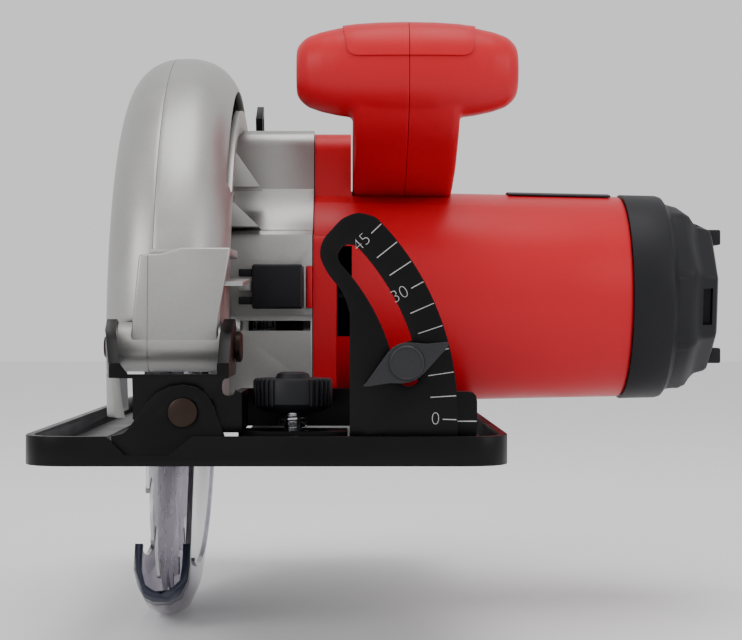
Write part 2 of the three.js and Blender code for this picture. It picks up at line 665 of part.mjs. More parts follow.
function rearCap() {
  const shell = turnX([[170, 0], ...[...CAP_OUTSIDE].reverse(), ...[...CAP_INSIDE].reverse()], MOTOR, 32);
  const lugs = [-1, 1].map((side) => {
    const z = MOTOR.z + side * 24.2;
    return box(168, 172.5, MOTOR.y - 6, MOTOR.y + 6, z - 2.6, z + 2.6);
  });
  const seat = tubeX(150, 167.5, 9.8, 12.6, MOTOR);
  const vents = Array.from({ length: VENTS }, (_, i) => {
    const vent = box(155, 166, -1.6, 1.6, 26, 40);
    const turned = vent.rotate([(i + 0.5) * 360 / VENTS, 0, 0]);
    return turned.translate([0, MOTOR.y, MOTOR.z]);
  });
  return cut(join(shell, ...lugs, seat), ...vents);
}

add('rear_cap', rearCap(), 'black_plastic');

function namePlate() {
  const [x0, x1] = [88, 128];
  const lift = (x, height) => [x, housingRadius(x) + height];
  const ring = turnX([lift(x0, GAP), lift(x0, 1), lift(x1, 1), lift(x1, GAP)], MOTOR, 72);
  return ring.intersect(wedgeX(MOTOR, 60 * DEG, 104 * DEG, 60, x0 - 1, x1 + 1));
}

add('name_plate', namePlate(), 'lever_grey');

// ---- front T-handle -------------------------------------------------------------------------

const BAR = { y: -36, z: 135, x0: 6.5, x1: 86.6 };

function tHandleForm(inset) {
  const bar = turnX([
    [BAR.x0 + inset, 0], [BAR.x0 + inset, 9.5 - inset], [11.5 + inset, 14.2 - inset], [24, 16.6 - inset],
    [36, 17.3 - inset], [58, 17.3 - inset], [70, 16.6 - inset], [82.5 - inset, 14.2 - inset],
    [BAR.x1 - inset, 9.5 - inset], [BAR.x1 - inset, 0],
  ], BAR, 28);
  const post = plateX(outline([
    [10 + inset, 91 + inset], [-18 + inset, 99 + inset, 10], [-46 + inset, 112, 10], [-53 + inset, 130],
    [-20 - inset, 132], [-12 - inset, 120, 8], [22, 112 - inset, 6], [34 - inset, 88],
  ]), 27 + inset, 66 - inset);
  return join(bar, post);
}

function tHandleHalf(side) {
  const hollow = cut(tHandleForm(3), rodX(0, 100, HOUSING_RADIUS + 3.5, MOTOR, 40));
  const shell = cut(tHandleForm(0), hollow, rodX(0, 100, HOUSING_RADIUS + GAP, MOTOR, 40));
  const away = side < 0 ? box(HANDLE_SEAM - GAP / 2, 120, -100, 100, 0, 200)
    : box(-20, HANDLE_SEAM + GAP / 2, -100, 100, 0, 200);
  return cut(shell, away);
}

add('t_handle_left', tHandleHalf(-1), 'red_plastic');
add('t_handle_right', tHandleHalf(1), 'red_plastic');

// ---- main handle at the rear ------------------------------------------------------------------

const GRIP = { x0: 30, x1: 64 };

const gripOutside = (inset) => outline([
  [36, 84 + inset], [30 + inset, 104, 8], [44, 128 - inset, 12], [80, 142 - inset, 20],
  [122, 138 - inset, 20], [150 - inset, 112, 20], [156 - inset, 72, 16], [146 - inset, 36, 14],
  [124, 20 + inset, 14], [90, 16 + inset, 10], [56, 18 + inset, 4], [54, 40],
], 2);

const gripInside = (grow) => outline([
  [72 - grow, 60, 10], [74 - grow, 96, 10], [86, 107 + grow, 8], [112, 106 + grow, 12],
  [126 + grow, 90, 12], [126 + grow, 62, 12], [114, 46 - grow, 12], [84, 44 - grow, 12],
], 2);

const TRIGGER = { x0: 41, x1: 53, y0: 84, y1: 106 };
const BUTTON = { y: 94, z: 124, radius: 5 };

function mainHandleHalf(side) {
  const clearance = rodX(0, 100, HOUSING_RADIUS + GAP, MOTOR, 40);
  const ring = cut(plateX(gripOutside(0), GRIP.x0, GRIP.x1),
    plateX(gripInside(0), GRIP.x0 - 1, GRIP.x1 + 1), clearance);
  const hollow = cut(plateX(gripOutside(3.4), GRIP.x0 + 3.4, GRIP.x1 - 3.4),
    plateX(gripInside(3.4), GRIP.x0, GRIP.x1), rodX(0, 100, HOUSING_RADIUS + 3.5, MOTOR, 40));
  const triggerSlot = box(TRIGGER.x0 - GAP, TRIGGER.x1 + GAP, TRIGGER.y0 - GAP, TRIGGER.y1 + GAP, 90, 120);
  const buttonHole = rodX(55, 70, BUTTON.radius + GAP, BUTTON);
  const inlet = rodY(HANDLE_SEAM, GLAND.z, GLAND.radius + GAP, 140, 160);
  const away = side < 0 ? box(HANDLE_SEAM - GAP / 2, 120, 0, 200, 0, 200)
    : box(-20, HANDLE_SEAM + GAP / 2, 0, 200, 0, 200);
  return cut(ring, hollow, triggerSlot, buttonHole, inlet, away);
}

const GLAND = { z: 58, radius: 7 };

add('main_handle_left', mainHandleHalf(-1), 'red_plastic');
add('main_handle_right', mainHandleHalf(1), 'red_plastic');

function cordGland() {
  const body = rodY(HANDLE_SEAM, GLAND.z, GLAND.radius, 143, 160);
  const nose = rodY(HANDLE_SEAM, GLAND.z, GLAND.radius - 1.5, 159, 164);
  return cut(join(body, nose), rodY(HANDLE_SEAM, GLAND.z, 3.8, 140, 166));
}

add('cord_gland', cordGland(), 'black_plastic');

function trigger() {
  const { x0, x1, y0, y1 } = TRIGGER;
  return plateX(outline([
    [y0, 114], [y0, 97, 4], [y0 + 6, 95, 6], [y1 - 6, 97, 6], [y1, 102, 3], [y1, 114],
  ]), x0, x1);
}

add('trigger', trigger(), 'black_plastic');
add('lock_off_button', rodX(58.2, 67.5, BUTTON.radius, BUTTON), 'black_plastic');
add('switch_body', box(37, 54.5, 81, 109, 120.5, 134), 'black_plastic');

// ---- depth lock -------------------------------------------------------------------------------

const DEPTH_LOCK = polarX(HINGE, GUIDE_RADIUS, LOCK_ANGLE);

function depthLockBolt() {
  return join(rodX(-23, -5.5, 3, DEPTH_LOCK, 20), rodX(-24.5, -21.3, 6, DEPTH_LOCK, 6));
}

function depthLockLever() {
  const hub = rodX(-11.9, -4, 7, DEPTH_LOCK, 28);
  const arm = plateX(outline([
    [DEPTH_LOCK.y - 5, DEPTH_LOCK.z], [DEPTH_LOCK.y - 3, DEPTH_LOCK.z + 34, 4],
    [DEPTH_LOCK.y + 5, DEPTH_LOCK.z + 34, 4], [DEPTH_LOCK.y + 5, DEPTH_LOCK.z],
  ]), -9.5, -5);
  return cut(join(hub, arm), rodX(-13, -5, 3 + GAP, DEPTH_LOCK, 20));
}

add('depth_lock_bolt', depthLockBolt(), 'bright_steel');
add('depth_lock_lever', depthLockLever(), 'lever_grey');

// ---- motor ------------------------------------------------------------------------------------

const FINE = 16;                    // sides of small turned pieces inside the saw
const CORE = { x0: 42, x1: 92 };    // lamination stack
const SHAFT_RADIUS = 4;

add('stator_core', tubeX(CORE.x0, CORE.x1, 29.9, 36.4, MOTOR, 24), 'core_steel');

// A saddle coil on one side of the armature, with the stator pole through its window.
function fieldCoil(side) {
  const [x0, x1] = [CORE.x0 - 7, CORE.x1 + 7];
  const middle = side * 90 * DEG;
  const sleeve = tubeX(x0, x1, 24.4, 29.6, MOTOR, 24);
  const window = wedgeX(MOTOR, middle - 38 * DEG, middle + 38 * DEG, 60, CORE.x0 + 2, CORE.x1 - 2);
  const saddle = wedgeX(MOTOR, middle - 68 * DEG, middle + 68 * DEG, 60, x0 - 1, x1 + 1);
  return cut(sleeve.intersect(saddle), window);
}

add('field_coil_upper', fieldCoil(1), 'copper');
add('field_coil_lower', fieldCoil(-1), 'copper');
add('fan_baffle', tubeX(31.5, 33.5, 20, 37.3, MOTOR, 24), 'black_plastic');

const COMMUTATOR = { x0: 108, x1: 124, radius: 13 };

function brushHolder(side) {
  const sleeve = box(111, 121, 14.5, 32, -6.5, 6.5);
  const bore = box(112.7, 119.3, 13, 33, -4.3, 4.3);
  return cut(sleeve, bore).rotate([side < 0 ? 180 : 0, 0, 0]).translate([0, MOTOR.y, MOTOR.z]);
}

function brush(side) {
  const block = box(113, 119, COMMUTATOR.radius + 0.4, 27, -4, 4);
  return block.rotate([side < 0 ? 180 : 0, 0, 0]).translate([0, MOTOR.y, MOTOR.z]);
}

for (const [name, side] of [['front', -1], ['rear', 1]]) {
  add(`brush_holder_${name}`, brushHolder(side), 'dark_steel');
  add(`brush_${name}`, brush(side), 'carbon');
}

// A sealed ball bearing, drawn as one ring.
const bearing = (x0, x1, inner, outer, at) => tubeX(x0, x1, inner, outer, at, FINE);

add('armature_bearing_front', bearing(3.4, 9, SHAFT_RADIUS + GAP, 11, MOTOR), 'bright_steel');
add('armature_bearing_rear', bearing(157, 164, SHAFT_RADIUS - 0.5 + GAP, 9.5, MOTOR), 'bright_steel');
add('spindle_bearing_outer', bearing(-17.5, -11.5, 6.3, 10, SPINDLE), 'bright_steel');
add('spindle_bearing_inner', bearing(3.4, 9, 4.3, 8, SPINDLE), 'bright_steel');

// ---- armature ---------------------------------------------------------------------------------

// Straight-sided teeth; turn is the angle of the first tooth's middle.
function toothedWheel(teeth, x0, x1, at, turn) {
  const pitch = MODULE * teeth / 2;
  const step = 2 * Math.PI / teeth;
  const profile = [[pitch - 1.25 * MODULE, 0.3], [pitch + 0.85 * MODULE, 0.12]];
  const points = [];
  for (let i = 0; i < teeth; i += 1) {
    const middle = turn + i * step;
    const rising = profile.map(([radius, half]) => [radius, middle - half * step]);
    const falling = profile.map(([radius, half]) => [radius, middle + half * step]).reverse();
    for (const [radius, angle] of [...rising, ...falling]) {
      points.push(new THREE.Vector2(at.y + radius * Math.cos(angle), at.z + radius * Math.sin(angle)));
    }
  }
  return plateX(new THREE.Shape(points), x0, x1);
}

function armatureShaft() {
  const rod = turnX([
    [1, 0], [1, SHAFT_RADIUS], [150, SHAFT_RADIUS], [150, 3.5], [165.5, 3.5], [165.5, 0],
  ], MOTOR, FINE);
  const neck = rodX(-0.9, 2, 3.4, MOTOR, FINE);
  const facing = CENTRES_ANGLE + Math.PI + Math.PI / PINION_TEETH;
  return join(rod, neck, toothedWheel(PINION_TEETH, GEAR_X.x0, GEAR_X.x1 + 1.5, MOTOR, facing));
}

add('armature_shaft', armatureShaft(), 'bright_steel');

function armatureCore() {
  const slots = 10;
  const stack = tubeX(CORE.x0 - 1, CORE.x1 + 1, SHAFT_RADIUS + GAP, 23.4, MOTOR, 36);
  const grooves = Array.from({ length: slots }, (_, i) =>
    box(CORE.x0 - 2, CORE.x1 + 2, 18, 25, -1.2, 1.2)
      .rotate([i * 360 / slots, 0, 0]).translate([0, MOTOR.y, MOTOR.z]));
  return cut(stack, ...grooves);
}

add('armature_core', armatureCore(), 'core_steel');
add('commutator', tubeX(COMMUTATOR.x0, COMMUTATOR.x1, SHAFT_RADIUS + GAP, COMMUTATOR.radius, MOTOR, 28),
  'copper');

function fan() {
  const blades = 8;
  const disc = tubeX(15, 17.5, SHAFT_RADIUS + GAP, 34, MOTOR, 36);
  const hub = tubeX(17, 29, SHAFT_RADIUS + GAP, 8, MOTOR, FINE);
  const vanes = Array.from({ length: blades }, (_, i) =>
    box(17, 28, 12, 33.4, -0.8, 0.8).rotate([i * 360 / blades, 0, 0]).translate([0, MOTOR.y, MOTOR.z]));
  return join(disc, hub, ...vanes);
}

add('fan', fan(), 'black_plastic');

// ---- spindle and blade --------------------------------------------------------------------------

const SPINDLE_RADIUS = 6;

function spindle() {
  return turnX([
    [-52, 0], [-52, 5], [-41.4, 5], [-41.4, SPINDLE_RADIUS], [2, SPINDLE_RADIUS], [2, 4], [10.5, 4],
    [10.5, 0],
  ], SPINDLE, FINE);
}

add('spindle', spindle(), 'bright_steel');

function driveGear() {
  const wheel = toothedWheel(GEAR_TEETH, GEAR_X.x0 + 0.5, GEAR_X.x1, SPINDLE, CENTRES_ANGLE);
  return cut(wheel, rodX(-20, 5, SPINDLE_RADIUS + GAP, SPINDLE, FINE));
}

add('drive_gear', driveGear(), 'bright_steel');

function blade() {
  const points = [];
  const step = 2 * Math.PI / BLADE_TEETH;
  const gullet = [[BLADE_RADIUS, 0], [BLADE_RADIUS - 10, 0], [BLADE_RADIUS - 10, 0.3],
    [BLADE_RADIUS - 2.6, 0.62]];
  for (let i = 0; i < BLADE_TEETH; i += 1) {
    for (const [radius, part] of gullet) {
      const at = polarX(SPINDLE, radius, (i + part) * step);
      points.push(new THREE.Vector2(at.y, at.z));
    }
  }
  const plate = plateX(new THREE.Shape(points), BLADE_X - BLADE_PLATE / 2, BLADE_X + BLADE_PLATE / 2);
  return cut(plate, rodX(-50, -30, 5 + GAP, SPINDLE, FINE));
}

add('blade', blade(), 'bright_steel');
add('inner_flange', tubeX(BLADE_X + BLADE_PLATE / 2 + GAP, -38, SPINDLE_RADIUS + GAP, 14, SPINDLE, 20),
  'bright_steel');
add('outer_flange', tubeX(-47.4, BLADE_X - BLADE_PLATE / 2 - GAP, 5 + GAP, 14, SPINDLE, 20), 'bright_steel');

function bladeBolt() {
  const head = rodX(-56.5, -52.3, 6.6, SPINDLE, 6);
  const washer = tubeX(-53.5, -47.7, 5 + GAP, 9, SPINDLE, FINE);
  return join(head, washer);
}

add('blade_bolt', bladeBolt(), 'dark_steel');

// ---- lower guard ----------------------------------------------------------------------------------

const MOUTH = -116 * DEG;           // front end of the lower guard
const TAIL = 12 * DEG;              // rear end
const LOWER = { left: -53, right: -32.5, wall: 2, shoulder: 91 };

function lowerGuard() {
  const { left, right, wall, shoulder } = LOWER;
  const rim = turnX([
    [left, 80], [left, shoulder], [-46, LOWER_RADIUS], [-39.5, LOWER_RADIUS], [right, shoulder],
    [right, 80], [right - wall, 80], [right - wall, shoulder - 0.8], [-40.4, LOWER_RADIUS - wall],
    [-45.1, LOWER_RADIUS - wall], [left + wall, shoulder - 0.8], [left + wall, 80],
  ], SPINDLE, 48);
  const side = tubeX(right - wall, right, 24, 81, SPINDLE, 32);
  const sector = wedgeX(SPINDLE, MOUTH, TAIL, 160, -60, -28);
  const collar = tubeX(right - wall, -24, HUB_RADIUS + GAP, 20, SPINDLE, 20);
  const web = tubeX(right - wall, right, HUB_RADIUS + GAP, 26, SPINDLE, 20);
  return join(join(rim, side).intersect(sector), collar, web);
}

add('lower_guard', lowerGuard(), 'clear_plastic');

function guardLever() {
  const arm = box(-29.4, -27.4, 19, LEVER_RING + 2, -4, 4);
  const knob = rodX(-28, -4, 2.6, { y: LEVER_RING, z: 0 }, 16);
  const grip = rodX(-13.5, -4, 3.4, { y: LEVER_RING, z: 0 }, 16);
  const turned = join(arm, knob, grip).rotate([LEVER_REST / DEG, 0, 0])
    .translate([0, SPINDLE.y, SPINDLE.z]);
  const ring = tubeX(-29.4, -27.4, 20 + GAP, 25, SPINDLE, 20);
  return cut(join(turned, ring), rodX(-40, -20, 20 + GAP, SPINDLE, 20));
}

add('guard_lever', guardLever(), 'black_steel');

// Ring on the boss that keeps the lower guard from sliding off.
add('guard_retainer', tubeX(-37, -34.8, 9, 17.5, SPINDLE, 20), 'bright_steel');

function guardSpring() {
  const geometry = coil(17.6, 0.6, 1.6, 2.6);
  geometry.rotateY(Math.PI / 2);
  geometry.translate(-23.2, SPINDLE.y, SPINDLE.z);
  return solid(geometry);
}

add('guard_spring', guardSpring(), 'bright_steel');

export default saw;
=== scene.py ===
"""Looks of the circular saw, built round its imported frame. Metres, +Z up, front at -Y."""
import json
import math

import bmesh
import bpy
from mathutils import Matrix, Vector


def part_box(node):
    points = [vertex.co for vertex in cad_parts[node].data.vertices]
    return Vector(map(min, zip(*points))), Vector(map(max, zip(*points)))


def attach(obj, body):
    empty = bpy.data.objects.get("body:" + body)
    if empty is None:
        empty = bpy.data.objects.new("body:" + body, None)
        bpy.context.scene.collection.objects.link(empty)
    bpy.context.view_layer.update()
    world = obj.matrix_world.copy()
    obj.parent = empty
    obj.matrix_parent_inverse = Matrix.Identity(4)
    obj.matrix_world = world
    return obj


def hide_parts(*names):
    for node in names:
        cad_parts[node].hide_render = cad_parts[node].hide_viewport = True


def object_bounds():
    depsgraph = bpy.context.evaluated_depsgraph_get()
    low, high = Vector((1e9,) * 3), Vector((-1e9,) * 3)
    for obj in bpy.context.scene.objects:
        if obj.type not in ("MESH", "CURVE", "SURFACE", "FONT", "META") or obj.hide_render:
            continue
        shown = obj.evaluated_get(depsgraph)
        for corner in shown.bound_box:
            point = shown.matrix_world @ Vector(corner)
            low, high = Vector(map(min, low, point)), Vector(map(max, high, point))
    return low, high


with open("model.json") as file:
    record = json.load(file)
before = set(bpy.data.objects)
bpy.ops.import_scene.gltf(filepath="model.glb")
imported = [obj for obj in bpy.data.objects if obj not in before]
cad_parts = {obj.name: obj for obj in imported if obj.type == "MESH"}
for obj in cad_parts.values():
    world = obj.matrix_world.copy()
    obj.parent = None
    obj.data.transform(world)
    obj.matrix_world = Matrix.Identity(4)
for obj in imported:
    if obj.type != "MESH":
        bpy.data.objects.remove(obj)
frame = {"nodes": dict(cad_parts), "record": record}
FRAME_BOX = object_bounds()
NODES = frame["nodes"]

MM = 0.001
GAP = 0.3 * MM


def mm(*points):
    """Points given in millimetres."""
    return [tuple(part * MM for part in point) for point in points]


def middle(node):
    """Centre of a frame node's box."""
    low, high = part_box(node)
    return (low + high) / 2


MOTOR = middle("commutator")            # a point on the motor's axis
SPINDLE = middle("inner_flange")        # a point on the blade's axis
HINGE = middle("hinge_pin")             # a point on the depth axis
TILT = middle("front_tilt_rivet")       # a point on the bevel axis
CLAMP = middle("bevel_clamp_washer")
KNOB = middle("guide_knob_bolt")


# ---- camera, light and floor ----------------------------------------------------------------

def make_camera():
    """Straight in front of the saw, level with the motor's lower half."""
    data = bpy.data.cameras.new("camera")
    data.lens = 85.4
    data.shift_x = 0.0323
    data.shift_y = -0.0013
    camera = bpy.data.objects.new("camera", data)
    camera.location = (24.8 * MM, -676 * MM, 44.5 * MM)
    camera.rotation_euler = (math.pi / 2, 0, 0)
    bpy.context.scene.collection.objects.link(camera)
    bpy.context.scene.camera = camera


def area_light(name, place, target, size, power, colour=(1, 1, 1)):
    """A square soft box aimed at a point."""
    data = bpy.data.lights.new(name, "AREA")
    data.size = size
    data.energy = power
    data.color = colour
    light = bpy.data.objects.new(name, data)
    light.location = place
    aim = Vector(target) - Vector(place)
    light.rotation_euler = aim.to_track_quat("-Z", "Y").to_euler()
    bpy.context.scene.collection.objects.link(light)


def make_studio():
    """Pale floor, white surroundings and three soft boxes."""
    world = bpy.data.worlds.new("surroundings")
    world.use_nodes = True
    sky = world.node_tree.nodes["Background"]
    sky.inputs["Color"].default_value = (0.95, 0.95, 0.96, 1)
    sky.inputs["Strength"].default_value = 0.95
    bpy.context.scene.world = world
    target = (0.03, 0, 0.05)
    area_light("top_box", (0.1, -0.15, 1.1), target, 0.7, 6)
    area_light("left_box", (-0.9, -0.9, 0.7), target, 0.6, 6)
    area_light("right_box", (1.1, -0.7, 0.5), target, 0.6, 4)
    floor_z = FRAME_BOX[0].z - 0.5 * MM
    bpy.ops.mesh.primitive_plane_add(size=8, location=(0, 0, floor_z))
    floor = bpy.context.object
    floor.name = "floor"
    floor.data.materials.append(floor_paint())


# ---- material building blocks -----------------------------------------------------------------

def new_material(name):
    """An empty material with a Principled shader; returns the material, its tree and its shader."""
    material = bpy.data.materials.new(name)
    material.use_nodes = True
    tree = material.node_tree
    return material, tree, tree.nodes["Principled BSDF"]


def place_node(tree, kind, settings=None, **inputs):
    """Adds a node, sets its properties from settings and its sockets from inputs."""
    node = tree.nodes.new(kind)
    for key, value in (settings or {}).items():
        setattr(node, key, value)
    for key, value in inputs.items():
        socket = node.inputs[key.replace("_", " ")]
        if isinstance(value, bpy.types.NodeSocket):
            tree.links.new(value, socket)
        else:
            socket.default_value = value
    return node


def object_space(tree, stretch=(1, 1, 1)):
    """Object coordinates in metres, stretched along each axis."""
    coordinates = place_node(tree, "ShaderNodeTexCoord")
    mapping = place_node(tree, "ShaderNodeMapping", Vector=coordinates.outputs["Object"])
    mapping.inputs["Scale"].default_value = stretch
    return mapping.outputs["Vector"]


def grain(tree, space, scale, detail=3.0, roughness=0.5):
    """A noise pattern; scale is in features per metre."""
    return place_node(tree, "ShaderNodeTexNoise", Vector=space, Scale=scale, Detail=detail,
                      Roughness=roughness).outputs["Fac"]


def ramp(tree, factor, stops):
    """A colour ramp through (position, colour) stops."""
    node = place_node(tree, "ShaderNodeValToRGB", Fac=factor)
    elements = node.color_ramp.elements
    while len(elements) < len(stops):
        elements.new(0.5)
    for element, (position, colour) in zip(elements, stops):
        element.position = position
        element.color = (*colour, 1)
    return node.outputs["Color"]


def spread(tree, factor, low, high):
    """Maps a 0..1 pattern to low..high."""
    node = place_node(tree, "ShaderNodeMapRange", Value=factor)
    node.inputs["From Min"].default_value = 0.3
    node.inputs["From Max"].default_value = 0.7
    node.inputs["To Min"].default_value = low
    node.inputs["To Max"].default_value = high
    return node.outputs["Result"]


def bump(tree, height, strength, depth):
    """A bump of the given depth in metres."""
    return place_node(tree, "ShaderNodeBump", Strength=strength, Distance=depth,
                      Height=height).outputs["Normal"]


def shade(colour, factor):
    """A colour made lighter or darker."""
    return tuple(min(1.0, part * factor) for part in colour)


SKIN_DEPTH = 0.05 * MM


def textured(name, colour, roughness, metallic=0.0, skin=1400, skin_strength=0.3, mottle=0.06, coat=0.0,
             shine=0.5):
    """A coloured surface with fine skin grain, slow mottling and uneven gloss."""
    material, tree, shader = new_material(name)
    space = object_space(tree)
    slow = grain(tree, space, 45, 2.0)
    fine = grain(tree, space, skin, 4.0, 0.6)
    blend = place_node(tree, "ShaderNodeMath", {"operation": "MULTIPLY_ADD"})
    tree.links.new(fine, blend.inputs[0])
    blend.inputs[1].default_value = 0.5
    half = place_node(tree, "ShaderNodeMath", {"operation": "MULTIPLY"})
    tree.links.new(slow, half.inputs[0])
    half.inputs[1].default_value = 0.5
    tree.links.new(half.outputs[0], blend.inputs[2])
    stops = [(0.3, shade(colour, 1 - mottle)), (0.7, shade(colour, 1 + mottle))]
    tree.links.new(ramp(tree, blend.outputs[0], stops), shader.inputs["Base Color"])
    gloss = spread(tree, slow, roughness - 0.05, roughness + 0.05)
    tree.links.new(gloss, shader.inputs["Roughness"])
    tree.links.new(bump(tree, fine, skin_strength, SKIN_DEPTH), shader.inputs["Normal"])
    shader.inputs["Metallic"].default_value = metallic
    shader.inputs["Coat Weight"].default_value = coat
    shader.inputs["Coat Roughness"].default_value = 0.2
    shader.inputs["Specular IOR Level"].default_value = shine
    return material


def floor_paint():
    """Plain pale floor with a trace of unevenness."""
    return textured("floor_paint", (0.86, 0.86, 0.87), 0.6, skin=60, skin_strength=0.02, mottle=0.01)


def clear_guard():
    """Smoke-tinted clear plastic with faint swirls and moulding haze."""
    material, tree, shader = new_material("clear_plastic")
    space = object_space(tree)
    haze = grain(tree, space, 60, 3.0)
    tint = ramp(tree, haze, [(0.3, (0.42, 0.39, 0.46)), (0.7, (0.66, 0.61, 0.68))])
    tree.links.new(tint, shader.inputs["Base Color"])
    tree.links.new(spread(tree, haze, 0.05, 0.14), shader.inputs["Roughness"])
    tree.links.new(bump(tree, grain(tree, space, 250, 2.0), 0.1, 0.1 * MM), shader.inputs["Normal"])
    shader.inputs["Transmission Weight"].default_value = 0.9
    shader.inputs["IOR"].default_value = 1.45
    return material


def turned_steel(name, colour, roughness, axis):
    """Steel with fine rings round an axis: 0, 1 or 2 for X, Y or Z."""
    stretch = [60.0, 60.0, 60.0]
    stretch[axis] = 2500.0
    material, tree, shader = new_material(name)
    rings = grain(tree, object_space(tree, stretch), 1.0, 3.0)
    tree.links.new(ramp(tree, rings, [(0.3, shade(colour, 0.85)), (0.7, shade(colour, 1.1))]),
                   shader.inputs["Base Color"])
    tree.links.new(spread(tree, rings, roughness - 0.06, roughness + 0.08), shader.inputs["Roughness"])
    tree.links.new(bump(tree, rings, 0.15, 0.02 * MM), shader.inputs["Normal"])
    shader.inputs["Metallic"].default_value = 1.0
    return material


MATERIALS = {
    "black_steel": textured("black_steel", (0.0030, 0.0024, 0.0028), 0.34, skin=900, skin_strength=0.22,
                            mottle=0.25, shine=0.14),
    "grey_casting": textured("grey_casting", (0.36, 0.355, 0.345), 0.4, metallic=0.7, skin=1700,
                             skin_strength=0.3, mottle=0.1, coat=0.1),
    "red_plastic": textured("red_plastic", (0.50, 0.003, 0.012), 0.4, skin=1500, skin_strength=0.16,
                            mottle=0.05, shine=0.25),
    "black_plastic": textured("black_plastic", (0.0075, 0.0075, 0.0095), 0.48, skin=1600,
                              skin_strength=0.4, mottle=0.15, shine=0.22),
    "lever_grey": textured("lever_grey", (0.018, 0.018, 0.021), 0.48, skin=1300, skin_strength=0.35,
                           mottle=0.15, shine=0.28),
    "clear_plastic": clear_guard(),
    "bright_steel": turned_steel("bright_steel", (0.62, 0.62, 0.64), 0.28, 0),
    "dark_steel": turned_steel("dark_steel", (0.035, 0.024, 0.020), 0.42, 1),
    "copper": textured("copper", (0.55, 0.22, 0.09), 0.3, metallic=1.0, skin=700, mottle=0.2),
    "core_steel": turned_steel("core_steel", (0.25, 0.25, 0.27), 0.45, 0),
    "carbon": textured("carbon", (0.02, 0.02, 0.02), 0.7, skin=2000, mottle=0.2),
}
MARK_PAINT = textured("mark_paint", (0.4, 0.4, 0.39), 0.5, skin=1200, mottle=0.25)
CARBIDE = textured("carbide", (0.3, 0.3, 0.31), 0.4, metallic=1.0, skin=3000, mottle=0.2)
GUARD_LIP = textured("guard_lip", (0.010, 0.014, 0.030), 0.22, skin=800, skin_strength=0.1, mottle=0.3,
                     coat=0.6)


# ---- mesh building blocks ---------------------------------------------------------------------

def loose_object(name, mesh):
    """An object in the scene that isn't a piece yet."""
    thing = bpy.data.objects.new(name, mesh)
    bpy.context.scene.collection.objects.link(thing)
    return thing


def settle(thing):
    """The object's evaluated shape as a plain mesh; the object itself is removed."""
    graph = bpy.context.evaluated_depsgraph_get()
    mesh = bpy.data.meshes.new_from_object(thing.evaluated_get(graph), depsgraph=graph)
    bpy.data.objects.remove(thing)
    return mesh


def with_modifier(mesh, kind, **settings):
    """A mesh after one modifier."""
    thing = loose_object("shaping", mesh)
    modifier = thing.modifiers.new(kind.lower(), kind)
    for key, value in settings.items():
        setattr(modifier, key, value)
    return settle(thing)


def carve(mesh, tool, operation="DIFFERENCE"):
    """A mesh cut by, or joined to, another closed mesh."""
    cutter = loose_object("cutter", tool)
    shaped = with_modifier(mesh, "BOOLEAN", object=cutter, operation=operation, solver="EXACT")
    bpy.data.objects.remove(cutter)
    return shaped


def fuse(*meshes):
    """One mesh holding several."""
    bm = bmesh.new()
    for mesh in meshes:
        bm.from_mesh(mesh)
    return from_bmesh(bm)


def from_bmesh(bm):
    """Closes the edit and returns the mesh, its faces outwards."""
    bmesh.ops.recalc_face_normals(bm, faces=bm.faces)
    mesh = bpy.data.meshes.new("shape")
    bm.to_mesh(mesh)
    bm.free()
    return mesh


def soften(mesh, width, segments=2, angle=32):
    """Rounds every edge sharper than the angle."""
    return with_modifier(mesh, "BEVEL", width=width, segments=segments, limit_method="ANGLE",
                         angle_limit=math.radians(angle), use_clamp_overlap=True, harden_normals=False)


def smooth(mesh, angle=38):
    """Smooth shading that keeps edges sharper than the angle."""
    mesh.shade_smooth()
    mesh.set_sharp_from_angle(angle=math.radians(angle))
    return mesh


def turned(profile, centre, segments=128):
    """A body of revolution round an axis along X; profile is [(x, radius), ...] in metres."""
    bm = bmesh.new()
    rings = []
    for x, radius in profile:
        if radius == 0:
            rings.append([bm.verts.new((x, centre.y, centre.z))])
            continue
        ring = []
        for i in range(segments):
            angle = 2 * math.pi * i / segments
            ring.append(bm.verts.new((x, centre.y + radius * math.cos(angle),
                                      centre.z + radius * math.sin(angle))))
        rings.append(ring)
    pairs = list(zip(rings, rings[1:]))
    if len(rings[0]) > 1:
        pairs.append((rings[-1], rings[0]))
    for first, second in pairs:
        join_rings(bm, first, second)
    return from_bmesh(bm)


def join_rings(bm, first, second):
    """Faces between two rings, either of which may be a single point."""
    count = max(len(first), len(second))
    for i in range(count):
        corners = [first[i % len(first)], first[(i + 1) % len(first)],
                   second[(i + 1) % len(second)], second[i % len(second)]]
        unique = list(dict.fromkeys(corners))
        if len(unique) > 2:
            bm.faces.new(unique)


def capped(bm, rings):
    """The closed skin of a stack of rings."""
    for first, second in zip(rings, rings[1:]):
        join_rings(bm, first, second)
    bm.faces.new(rings[0])
    bm.faces.new(rings[-1])
    return from_bmesh(bm)


def prism(points, axis, low, high):
    """An outline pushed along an axis; points are in the two other axes, in X, Y, Z order."""
    bm = bmesh.new()
    rings = []
    for level in (low, high):
        ring = []
        for a, b in points:
            place = [a, b]
            place.insert(axis, level)
            ring.append(bm.verts.new(place))
        rings.append(ring)
    bm.faces.new(rings[0])
    bm.faces.new(rings[1])
    join_rings(bm, *rings)
    return from_bmesh(bm)


def block(low, high):
    """A rectangular block between two corners."""
    return prism([(low[0], low[1]), (high[0], low[1]), (high[0], high[1]), (low[0], high[1])],
                 2, low[2], high[2])


def arc(centre, radius, count, start, sweep):
    """Points along an arc, both of its ends among them."""
    angles = [start + sweep * i / (count - 1) for i in range(count)]
    return [(centre[0] + radius * math.cos(angle), centre[1] + radius * math.sin(angle)) for angle in angles]


